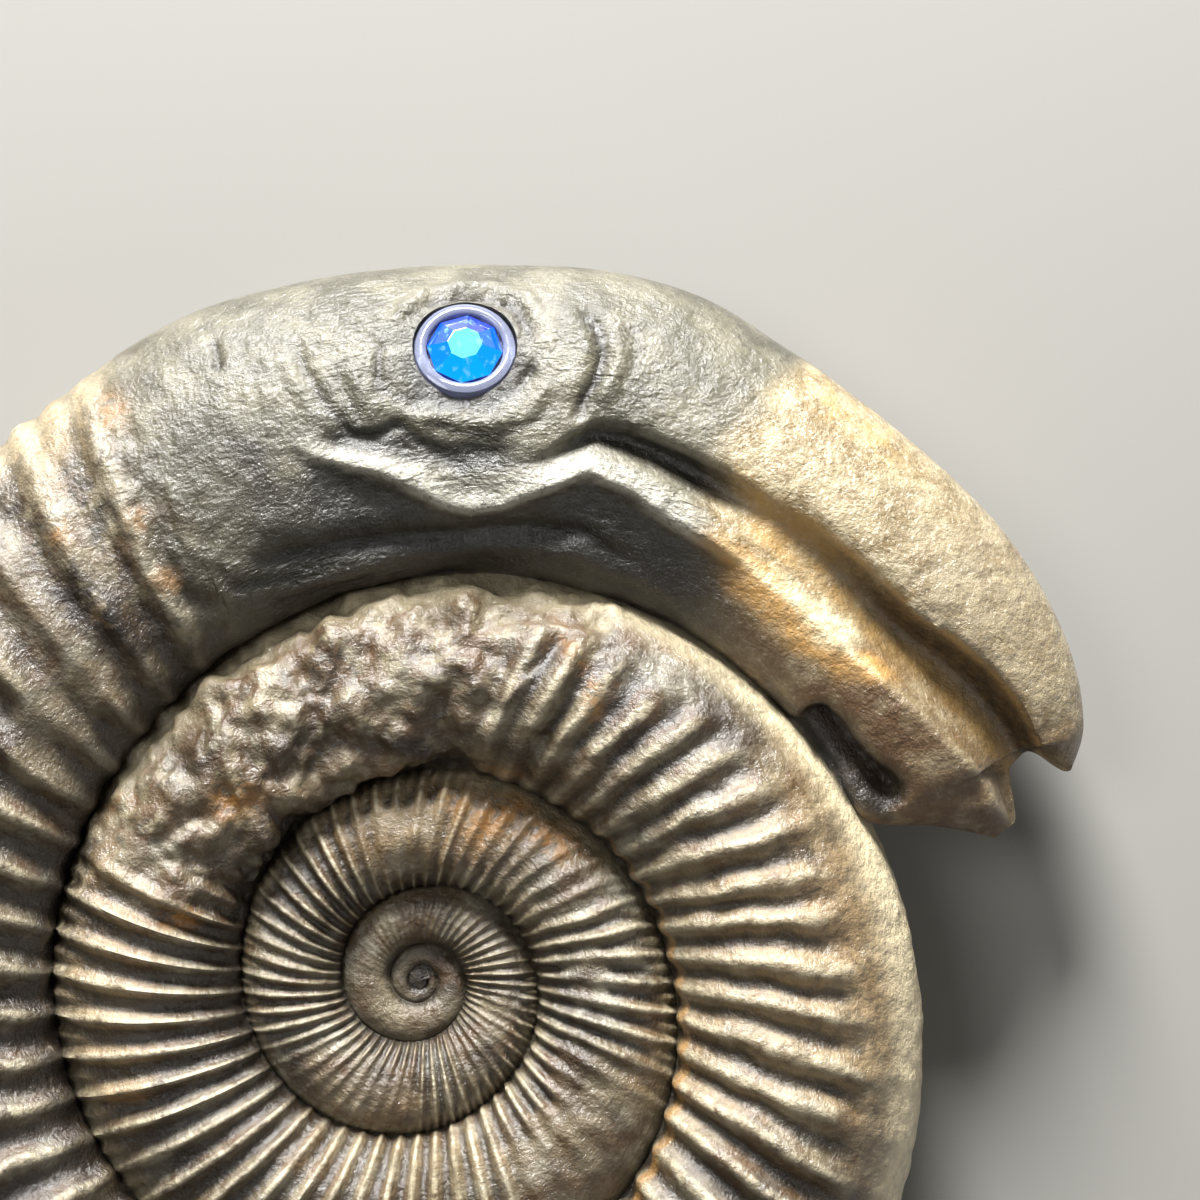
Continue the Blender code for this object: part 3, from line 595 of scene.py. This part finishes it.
# Painted shade: near black deep in the mouth, in the cut lines and in the pit between the jaw's end and the
# whorl under it.
painted_mouth_shadow = np.interp(plain_x, [15, 18.5, 23, 27], [1.1, 0.1, 0.2, 0.5])
painted_mouth_shadow *= ease(0.3, 1.2, mouth) * (1 - ease(0.3, 0.6, across))
painted_pit_shadow = blots([
    (24.9, 10.6, 1.9, 1.0, -52, 1.0), (22.8, 13.2, 1.8, 0.7, -45, 1.0), (20.6, 15.6, 1.8, 0.4, -48, 0.8),
], 0.4)
painted_hollow_shade = np.clip(painted_mouth_shadow + 0.9 * np.clip(-carved * 3, 0, 1), 0, 1)
painted_hollow_shade = 0.9 * np.maximum(painted_hollow_shade, painted_pit_shadow)
wrinkled = blots([
    (-3.4, 37.2, 3.6, 1.7, 15, 1.0), (3.4, 31.4, 4.4, 1.1, 0, 0.8), (9.6, 34.6, 2.6, 3.0, 0, 0.7),
    (-3.0, 33.0, 2.4, 2.6, 0, 0.6), (15.0, 27.2, 4.0, 1.4, -35, 0.8), (-6.0, 22.8, 5.5, 1.6, 10, 0.8),
    (1.0, 28.6, 6.0, 1.0, -10, 0.6),
], 0.6) * body
# Painted shade: the head is darkened where it turns down to the whorl under it, away from the lamp.
painted_shading = body * (lip_side < 0) * ease(1.1, 3.0, to_lip) * (1 - ease(14.0, 19.0, skin[:, 0]))
painted_shading *= ease(-13.5, -7.0, skin[:, 0] + 0.3 * skin[:, 1] - 8)
# Painted highlight along the crest of the lower lip, where it faces the lamp.
painted_lip_highlight = np.exp(-((to_lip / 1.1) ** 2)) * body * ease(-8, -4, plain_x) * (1 - ease(15, 18, plain_x))
pale_venter = ease(128, 152, angle) * ~body * ~free * (0.25 + 0.75 * swell(-0.6, 0.6, growth))
marks = {
    "golden": golden, "greyed": greyed, "honey": honey, "sepia": sepia, "orange": orange, "cream": cream,
    "amber": amber, "painted_channel_shade": painted_channel_shade, "ochre": ochre, "tan": tan, "crust_and_painted_shadow": crust_and_painted_shadow, "relief": relief,
    "seam_crust_and_shade": np.clip(seam_crust_and_shade, 0, 1), "painted_hollow_shade": painted_hollow_shade, "thread": thread, "painted_shading": painted_shading,
    "broken": np.maximum(broken, 0.7 * crusted) * ~body, "wrinkled": wrinkled, "painted_lip_highlight": painted_lip_highlight,
    "carved": ease(NECK_START - 0.01, NECK_END, growth + 0.008 * coarse) + free, "pale_venter": pale_venter,
}
# Lengths along the coil and across it, for the fine lines that follow its growth.
turns = np.linspace(-5.5, 1.2, 400)
coil_length = np.concatenate(([0.0], np.cumsum(2 * np.pi * seam_radius(turns[1:] + 0.5) * np.diff(turns))))
along_coil = np.interp(growth, turns, coil_length)
follow = np.stack((along_coil, np.radians(angle) * whorl_height / 2, 20 * side_of), axis=-1)
mark_tree = kdtree.KDTree(len(placed))
for i, place in enumerate(placed.tolist()):
    mark_tree.insert(place, i)
mark_tree.balance()

# Sockets drilled for the eyes, one in each flank.
EYE_GROWTH, EYE_RADIUS, EYE_TILT, EYE_SINK = 0.7625, 35.5, 24.0, 0.62
STONE_RADIUS, RESIN_RADIUS, GAP = 2.1, 2.8, 0.25


def eye_frame(side):
    """The eye's place and turn in the frame: its own +Z points out of the head."""
    g, r = np.array([EYE_GROWTH]), EYE_RADIUS
    seam, cover, thick = seam_radius(g)[0], seam_radius(g + 1)[0], half_thickness(g)[0]
    crest = (seam + cover) / 2
    height = thick * math.sqrt(1 - ((r - crest) / (crown_radius(g)[0] - crest)) ** 2)
    x, y, z = on_ray(g, r, height)[0]
    outward = Vector((x, y, 0)).normalized()
    tilt = math.radians(EYE_TILT)
    face = outward * math.sin(tilt) + Vector((0, 0, math.cos(tilt)))
    centre = Vector((x, y, z)) - face * EYE_SINK
    centre.z *= side
    face.z *= side
    along = Vector((0, 0, 1)).cross(outward).normalized()
    turn = Matrix((along, face.cross(along), face)).transposed().to_4x4()
    return Matrix.Translation((centre + Vector((*AXIS, REST_DEPTH))) * MM) @ turn


bpy.ops.object.select_all(action="DESELECT")
for side in (1, -1):
    bpy.ops.mesh.primitive_cylinder_add(vertices=72, radius=(RESIN_RADIUS + 0.05) * MM, depth=6 * MM)
    drill = bpy.context.object
    drill.name = f"socket_drill_{side}"
    for corner in drill.data.vertices:
        corner.co.z += (3.0 - 1.3) * MM
        if corner.co.z > 2 * MM:
            corner.co.xy *= 1.02
    drill.matrix_world = eye_frame(side)
    cut = fossil.modifiers.new("socket", "BOOLEAN")
    cut.operation = "DIFFERENCE"
    cut.solver = "EXACT"
    cut.object = drill
    bpy.context.view_layer.objects.active = fossil
    bpy.ops.object.modifier_apply(modifier="socket")
    bpy.data.objects.remove(drill)

fossil_mesh = fossil.data
spots = np.empty(len(fossil_mesh.vertices) * 3, np.float32)
fossil_mesh.vertices.foreach_get("co", spots)
nearest = np.array([mark_tree.find(place)[1] for place in spots.reshape(-1, 3).tolist()])
for name, values in marks.items():
    layer = fossil_mesh.attributes.new(name, "FLOAT", "POINT")
    layer.data.foreach_set("value", values[nearest].astype(np.float32))
layer = fossil_mesh.attributes.new("follow", "FLOAT_VECTOR", "POINT")
layer.data.foreach_set("vector", follow[nearest].astype(np.float32).ravel())
for face in fossil_mesh.polygons:
    face.use_smooth = True
fossil_mesh.set_sharp_from_angle(angle=math.radians(65))


def colour(code):
    """An sRGB hex colour as linear red, green, blue and alpha."""
    parts = [int(code[i : i + 2], 16) / 255 for i in (1, 3, 5)]
    return (*[c / 12.92 if c <= 0.04045 else ((c + 0.055) / 1.055) ** 2.4 for c in parts], 1.0)


def add_node(tree, kind, inputs=None, **settings):
    """A new node with its settings, and its inputs set to values or linked to outputs."""
    node = tree.nodes.new(kind)
    for name, value in settings.items():
        setattr(node, name, value)
    for name, value in (inputs or {}).items():
        if isinstance(value, bpy.types.NodeSocket):
            tree.links.new(value, node.inputs[name])
        else:
            node.inputs[name].default_value = value
    return node


# Waxed limestone and calcite: dark warm grey, with cream crests where the ribs are buffed, lightened further
# as painted highlight, brown clay in the grooves and seams, darkened further as painted shade, ochre iron
# stains, and a golden crystalline snout. Painted shade also darkens the head's underside, the mouth and the
# cut lines. The wax gives a wet sheen that breaks up into sparkles on the fine grain.
stone = bpy.data.materials.new("waxed_fossil_limestone")
stone.use_nodes = True
tree = stone.node_tree
tree.nodes.clear()
place = add_node(tree, "ShaderNodeTexCoord").outputs["Object"]


noises = {}
for name, size_mm, detail, roughness in (
    ("clouds", 4.0, 4, 0.6), ("veins", 3.1, 5, 0.6), ("mottle", 2.4, 5, 0.6), ("stain", 2.0, 4, 0.6),
    ("crystals", 1.8, 5, 0.6), ("smears", 1.6, 4, 0.6), ("crumbs", 1.5, 5, 0.6), ("pits", 1.3, 6, 0.66),
    ("clots", 1.2, 5, 0.6), ("flecks", 0.8, 5, 0.6), ("specks", 0.3, 4, 0.7), ("grains", 0.22, 3, 0.6),
):
    settings = {"Vector": place, "Scale": 1 / (size_mm * MM), "Detail": detail, "Roughness": roughness}
    noises[name] = add_node(tree, "ShaderNodeTexNoise", settings).outputs["Fac"]
for name in marks:
    noises[name] = add_node(tree, "ShaderNodeAttribute", attribute_name=name).outputs["Fac"]
for name, source, low, high in (("buffed_and_highlit_crests", "relief", 0.6, 0.98), ("shell", "thread", 0.25, 0.8)):
    settings = {"Value": noises[source], "From Min": low, "From Max": high}
    ramp = add_node(tree, "ShaderNodeMapRange", settings, interpolation_type="SMOOTHSTEP")
    noises[name] = ramp.outputs["Result"]


def layered(tone, layers, noises):
    """Lays colours over a tone, each as far as a noise goes from low to high, and only where its mark is."""
    for code, noise_name, low, high, least, most, mark in layers:
        settings = {
            "Value": noises[noise_name], "From Min": low, "From Max": high, "To Min": least, "To Max": most,
        }
        ramp = add_node(tree, "ShaderNodeMapRange", settings, interpolation_type="SMOOTHSTEP")
        amount = ramp.outputs["Result"]
        if mark:
            inputs = {0: noises[mark], 1: amount}
            amount = add_node(tree, "ShaderNodeMath", inputs, operation="MULTIPLY").outputs[0]
        inputs = {0: amount, 6: tone, 7: colour(code)}
        tone = add_node(tree, "ShaderNodeMix", inputs, data_type="RGBA").outputs[2]
    return tone


# Each layer: its colour, the noise that breaks it up with where that starts and is full, the least and the
# most of the layer, and the mark that it keeps to.
coil_tone = layered(colour("#40362a"), (
    ("#776c55", "clouds", 0.36, 0.66, 0.0, 1.0, None),
    ("#4d361d", "mottle", 0.46, 0.64, 0.0, 0.85, None),
    ("#8f8a79", "veins", 0.52, 0.68, 0.0, 0.7, None),
    ("#a68d66", "flecks", 0.3, 0.65, 0.25, 0.9, "tan"),
    # Grooves darkened: partly brown clay, partly painted shade.
    ("#1d1409", "relief", 0.42, 0.0, 0.0, 0.8, None),
    # Crests lightened: partly buffed wear, partly painted highlight.
    ("#b5aa8f", "flecks", 0.35, 0.6, 0.1, 0.8, "buffed_and_highlit_crests"),
    ("#5a452e", "flecks", 0.42, 0.64, 0.0, 0.75, "broken"),
    ("#857b62", "crumbs", 0.48, 0.66, 0.0, 0.85, "broken"),
    ("#eadab4", "flecks", 0.3, 0.6, 0.6, 1.0, "pale_venter"),
), noises)
head_tone = layered(colour("#4b4839"), (
    ("#726d5b", "clouds", 0.38, 0.64, 0.0, 1.0, None),
    # Painted highlight along the lower lip's crest.
    ("#b4b0a2", "flecks", 0.3, 0.6, 0.6, 1.0, "painted_lip_highlight"),
    ("#35302a", "specks", 0.5, 0.68, 0.0, 0.6, None),
), noises)
gold_tone = layered(colour("#857250"), (
    ("#ae9f7e", "crystals", 0.38, 0.64, 0.0, 1.0, None),
    ("#ddd2b8", "specks", 0.5, 0.7, 0.0, 0.7, None),
    ("#8d8069", "flecks", 0.3, 0.62, 0.25, 0.8, "greyed"),
    ("#bd9a58", "flecks", 0.42, 0.66, 0.0, 0.6, "honey"),
), noises)
inputs = {0: noises["carved"], 6: coil_tone, 7: head_tone}
tone = add_node(tree, "ShaderNodeMix", inputs, data_type="RGBA").outputs[2]
inputs = {0: noises["golden"], 6: tone, 7: gold_tone}
tone = add_node(tree, "ShaderNodeMix", inputs, data_type="RGBA").outputs[2]
tone = layered(tone, (
    ("#573b1e", "smears", 0.35, 0.6, 0.5, 0.95, "sepia"),
    ("#c69650", "flecks", 0.3, 0.6, 0.55, 0.95, "orange"),
    ("#b28f56", "stain", 0.35, 0.6, 0.4, 0.9, "amber"),
    # Painted shade on the upper side of the channel.
    ("#3f2f1b", "flecks", 0.3, 0.6, 0.6, 0.95, "painted_channel_shade"),
    # Pale patches, and a painted highlight along the lip's crest on the snout.
    ("#e3d6b0", "flecks", 0.35, 0.6, 0.35, 0.95, "cream"),
    ("#93662c", "flecks", 0.38, 0.56, 0.05, 0.85, "ochre"),
    # Dark crust, and painted shadow under the raised broken edge.
    ("#1f150b", "clots", 0.34, 0.52, 0.25, 1.0, "crust_and_painted_shadow"),
    # Painted shade on the underside of the head.
    ("#1d1812", "clouds", 0.3, 0.6, 0.45, 0.85, "painted_shading"),
    ("#8f6c3c", "flecks", 0.35, 0.6, 0.4, 0.95, "shell"),
    # Painted shade in the seams, and real crust where they are broad.
    ("#1c130a", "flecks", 0.3, 0.6, 0.45, 0.95, "seam_crust_and_shade"),
), noises)
# Painted shade, near black, in the mouth, the cut lines and the pit.
inputs = {0: noises["painted_hollow_shade"], 6: tone, 7: colour("#120c06")}
tone = add_node(tree, "ShaderNodeMix", inputs, data_type="RGBA").outputs[2]

# Fine relief, from the largest to the smallest. The wrinkles and growth lines are drawn out along the coil.
follow_place = add_node(tree, "ShaderNodeAttribute", attribute_name="follow").outputs["Vector"]
for name, along_mm, across_mm, detail in (("wrinkles", 1.5, 0.5, 2), ("growth_lines", 0.7, 0.25, 3)):
    inputs = {0: follow_place, 1: (1 / along_mm, 1 / across_mm, 1.0)}
    scaled = add_node(tree, "ShaderNodeVectorMath", inputs, operation="MULTIPLY").outputs[0]
    settings = {"Vector": scaled, "Scale": 1.0, "Detail": detail, "Roughness": 0.65, "Distortion": 0.6}
    noises[name] = add_node(tree, "ShaderNodeTexNoise", settings).outputs["Fac"]
inputs = {0: noises["wrinkles"], 1: noises["wrinkled"]}
noises["wrinkles"] = add_node(tree, "ShaderNodeMath", inputs, operation="MULTIPLY").outputs[0]
relief_normal = None
for name, depth_mm in (("pits", 0.36), ("wrinkles", 0.3), ("growth_lines", 0.06), ("grains", 0.03)):
    inputs = {"Height": noises[name], "Strength": 1.0, "Distance": depth_mm * MM}
    if relief_normal:
        inputs["Normal"] = relief_normal
    relief_normal = add_node(tree, "ShaderNodeBump", inputs).outputs["Normal"]
settings = {"Value": noises["flecks"], "From Min": 0.3, "From Max": 0.7, "To Min": 0.3, "To Max": 0.5}
rubbed = add_node(tree, "ShaderNodeMapRange", settings, interpolation_type="SMOOTHSTEP").outputs["Result"]
shader = add_node(
    tree, "ShaderNodeBsdfPrincipled",
    {
        "Base Color": tone, "Roughness": rubbed, "IOR": 1.55, "Normal": relief_normal,
        "Coat Weight": 0.75, "Coat Roughness": 0.14, "Coat IOR": 1.44, "Coat Normal": relief_normal,
    },
)
add_node(tree, "ShaderNodeOutputMaterial", {"Surface": shader.outputs["BSDF"]})
fossil_mesh.materials.clear()
fossil_mesh.materials.append(stone)
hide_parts("ammonite")
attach(fossil, "root")


# The eyes. Each is a pressed glass stone with an eight-sided crown and a foil back, set in a cast dish of
# clear resin that is glued into the socket.
TABLE_RADIUS, STONE_CROWN, STONE_BASE = 0.95, 0.75, 0.45
# Painted blues of the crown's facets, for the light each throws back.
PAINTED_FACET_BLUES = ["#2b3fc8", "#0c5cf0", "#0590fa", "#00b2ff", "#00a0f8", "#0674f2", "#0a4cea", "#3a4fd4"]  # clockwise
for side, where in ((1, "front"), (-1, "back")):
    bpy.ops.object.select_all(action="DESELECT")
    bpy.ops.mesh.primitive_cone_add(
        vertices=8, radius1=STONE_RADIUS * MM, radius2=TABLE_RADIUS * MM, depth=STONE_CROWN * MM,
        location=(0, 0, STONE_CROWN / 2 * MM),
    )
    gem = bpy.context.object
    gem.name = f"{where}_eye_glass"
    bpy.ops.object.transform_apply(location=True, rotation=True, scale=True)
    bpy.ops.object.mode_set(mode="EDIT")
    bpy.ops.mesh.select_all(action="DESELECT")
    bpy.ops.object.mode_set(mode="OBJECT")
    for face in gem.data.polygons:
        face.select = face.normal.z < -0.9
    bpy.ops.object.mode_set(mode="EDIT")
    bpy.ops.mesh.extrude_region_move(TRANSFORM_OT_translate={"value": (0, 0, -STONE_BASE * MM)})
    bpy.ops.object.mode_set(mode="OBJECT")
    # Each facet is painted its own blue, standing in for the light that the foil behind throws back through
    # it: from the table's edge at the crown, round.
    facet_paint = gem.data.color_attributes.new("painted_facet_blue", "FLOAT_COLOR", "CORNER")
    for face in gem.data.polygons:
        middle = face.center
        painted_shading = "#56bdf8" if face.normal.z > 0.9 else "#0a3fc0"
        if 0.1 < face.normal.z < 0.9:
            eighth = int((math.degrees(math.atan2(-middle.x, -middle.y)) % 360) // 45)
            painted_shading = PAINTED_FACET_BLUES[eighth]
        for corner in face.loop_indices:
            facet_paint.data[corner].color = colour(painted_shading)
    edge = gem.modifiers.new("worn edges", "BEVEL")
    edge.width = 0.03 * MM
    edge.segments = 2
    bpy.ops.object.modifier_apply(modifier="worn edges")
    gem.matrix_world = eye_frame(side)
    bpy.ops.object.transform_apply(location=True, rotation=True, scale=True)
    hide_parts(f"{where}_eye_stone")
    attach(gem, "root")

    bpy.ops.object.select_all(action="DESELECT")
    top, floor, well = 0.2, -STONE_BASE - 0.02, STONE_RADIUS + 0.03
    outline = [
        (0, floor), (well - 0.1, floor), (well, floor + 0.1), (well, top - 0.12), (well + 0.05, top - 0.05),
        (well + 0.22, top + 0.02), (RESIN_RADIUS - 0.3, top), (RESIN_RADIUS - 0.08, top - 0.1),
        (RESIN_RADIUS, top - 0.24), (RESIN_RADIUS, floor - 0.27), (RESIN_RADIUS - 0.08, floor - 0.35),
        (0, floor - 0.35),
    ]
    dish_mesh = bpy.data.meshes.new(f"{where}_eye_dish")
    dish_mesh.from_pydata([(r * MM, 0, z * MM) for r, z in outline], [(i, i + 1) for i in range(11)], [])
    dish = bpy.data.objects.new(f"{where}_eye_dish", dish_mesh)
    bpy.context.scene.collection.objects.link(dish)
    bpy.context.view_layer.objects.active = dish
    dish.select_set(True)
    turned = dish.modifiers.new("turned", "SCREW")
    turned.steps = turned.render_steps = 96
    turned.use_merge_vertices = True
    turned.merge_threshold = 1e-6
    turned.use_smooth_shade = True
    bpy.ops.object.modifier_apply(modifier="turned")
    dish.matrix_world = eye_frame(side)
    bpy.ops.object.transform_apply(location=True, rotation=True, scale=True)
    bpy.ops.object.mode_set(mode="EDIT")
    bpy.ops.mesh.select_all(action="SELECT")
    bpy.ops.mesh.normals_make_consistent(inside=False)
    bpy.ops.object.mode_set(mode="OBJECT")
    bpy.ops.object.shade_smooth_by_angle(angle=math.radians(35))
    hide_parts(f"{where}_eye_resin")
    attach(dish, "root")

# Deep blue pressed glass: very smooth, so it throws hard glints. Its colour is painted per facet, brighter
# below as if lit by its foil, with pale painted glints laid over it.
glass = bpy.data.materials.new("blue_pressed_glass")
glass.use_nodes = True
tree = glass.node_tree
tree.nodes.clear()
place = add_node(tree, "ShaderNodeTexCoord").outputs["Object"]
painted_facet_blue = add_node(tree, "ShaderNodeAttribute", attribute_name="painted_facet_blue").outputs["Color"]
# Pale blue painted glints, broken up by a noise.
settings = {"Vector": place, "Scale": 1 / (0.5 * MM), "Detail": 2.0, "Roughness": 0.6}
glints = {"glints": add_node(tree, "ShaderNodeTexNoise", settings).outputs["Fac"]}
shader = add_node(
    tree, "ShaderNodeBsdfPrincipled",
    {
        "Base Color": layered(painted_facet_blue, (("#9adcff", "glints", 0.56, 0.72, 0.0, 0.35, None),), glints),
        "Roughness": 0.05, "IOR": 1.56, "Metallic": 0.25, "Coat Weight": 1.0, "Coat Roughness": 0.02,
    },
)
add_node(tree, "ShaderNodeOutputMaterial", {"Surface": shader.outputs["BSDF"]})

# Clear cast resin, slightly cloudy and rubbed. Its faint blue is painted into its colour, standing in for the
# blue of the stone showing in its rim.
resin = bpy.data.materials.new("clear_cast_resin")
resin.use_nodes = True
tree = resin.node_tree
tree.nodes.clear()
place = add_node(tree, "ShaderNodeTexCoord").outputs["Object"]
settings = {"Vector": place, "Scale": 1 / (0.5 * MM), "Detail": 4.0, "Roughness": 0.6}
rubs = add_node(tree, "ShaderNodeTexNoise", settings).outputs["Fac"]
settings = {"Value": rubs, "From Min": 0.3, "From Max": 0.7, "To Min": 0.04, "To Max": 0.2}
rubbed = add_node(tree, "ShaderNodeMapRange", settings, interpolation_type="SMOOTHSTEP").outputs["Result"]
shader = add_node(
    tree, "ShaderNodeBsdfPrincipled",
    {"Base Color": colour("#c3cae8"), "Roughness": rubbed, "IOR": 1.5, "Transmission Weight": 0.75},
)
add_node(tree, "ShaderNodeOutputMaterial", {"Surface": shader.outputs["BSDF"]})
for where in ("front", "back"):
    for name, finish in ((f"{where}_eye_glass", glass), (f"{where}_eye_dish", resin)):
        piece = bpy.data.objects[name]
        piece.data.materials.clear()
        piece.data.materials.append(finish)


# A plain pale floor under it, large enough to fill the frame.
bpy.ops.object.select_all(action="DESELECT")
bpy.ops.mesh.primitive_plane_add(size=3.0, location=(0, 0, 0))
floor_plane = bpy.context.object
floor_plane.name = "floor"
paper = bpy.data.materials.new("matt_grey_card")
paper.use_nodes = True
tree = paper.node_tree
tree.nodes["Principled BSDF"].inputs["Base Color"].default_value = colour("#8f8d88")
tree.nodes["Principled BSDF"].inputs["Roughness"].default_value = 0.8
floor_plane.data.materials.append(paper)

# A soft lamp above the crown and beyond it, as in the photograph, two weak wide ones, and a dim room.
for name, place_m, size_m, watts in (
    ("key", (-0.03, 0.36, 0.17), 0.15, 6.0),
    ("fill", (0.30, -0.20, 0.30), 0.30, 0.35),
    ("top", (-0.20, 0.10, 0.40), 0.20, 0.6),
):
    lamp = bpy.data.lights.new(name, "AREA")
    lamp.shape = "DISK"
    lamp.size = size_m
    lamp.energy = watts
    holder = bpy.data.objects.new(name, lamp)
    holder.location = place_m
    holder.rotation_euler = (Vector((0.0, 0.01, 0.01)) - Vector(place_m)).to_track_quat("-Z", "Y").to_euler()
    bpy.context.scene.collection.objects.link(holder)
room = bpy.data.worlds.new("room")
room.use_nodes = True
room.node_tree.nodes["Background"].inputs["Color"].default_value = colour("#d2cec6")
room.node_tree.nodes["Background"].inputs["Strength"].default_value = 0.10
bpy.context.scene.world = room
bpy.context.scene.view_settings.view_transform = "Standard"

# The camera looks straight down, as in the photograph, on the head and the inner whorls.
DISTANCE, FRAME_WIDTH = 200.0, 66.667  # mm
lens_data = bpy.data.cameras.new("camera")
lens_data.sensor_width = 36
lens_data.lens = 36 * DISTANCE / FRAME_WIDTH
lens_data.clip_start = 0.01
camera = bpy.data.objects.new("camera", lens_data)
camera.location = ((AXIS[0] + 10.167) * MM, (AXIS[1] + 21.389) * MM, (REST_DEPTH + 2.9 + DISTANCE) * MM)
bpy.context.scene.collection.objects.link(camera)
bpy.context.scene.camera = camera
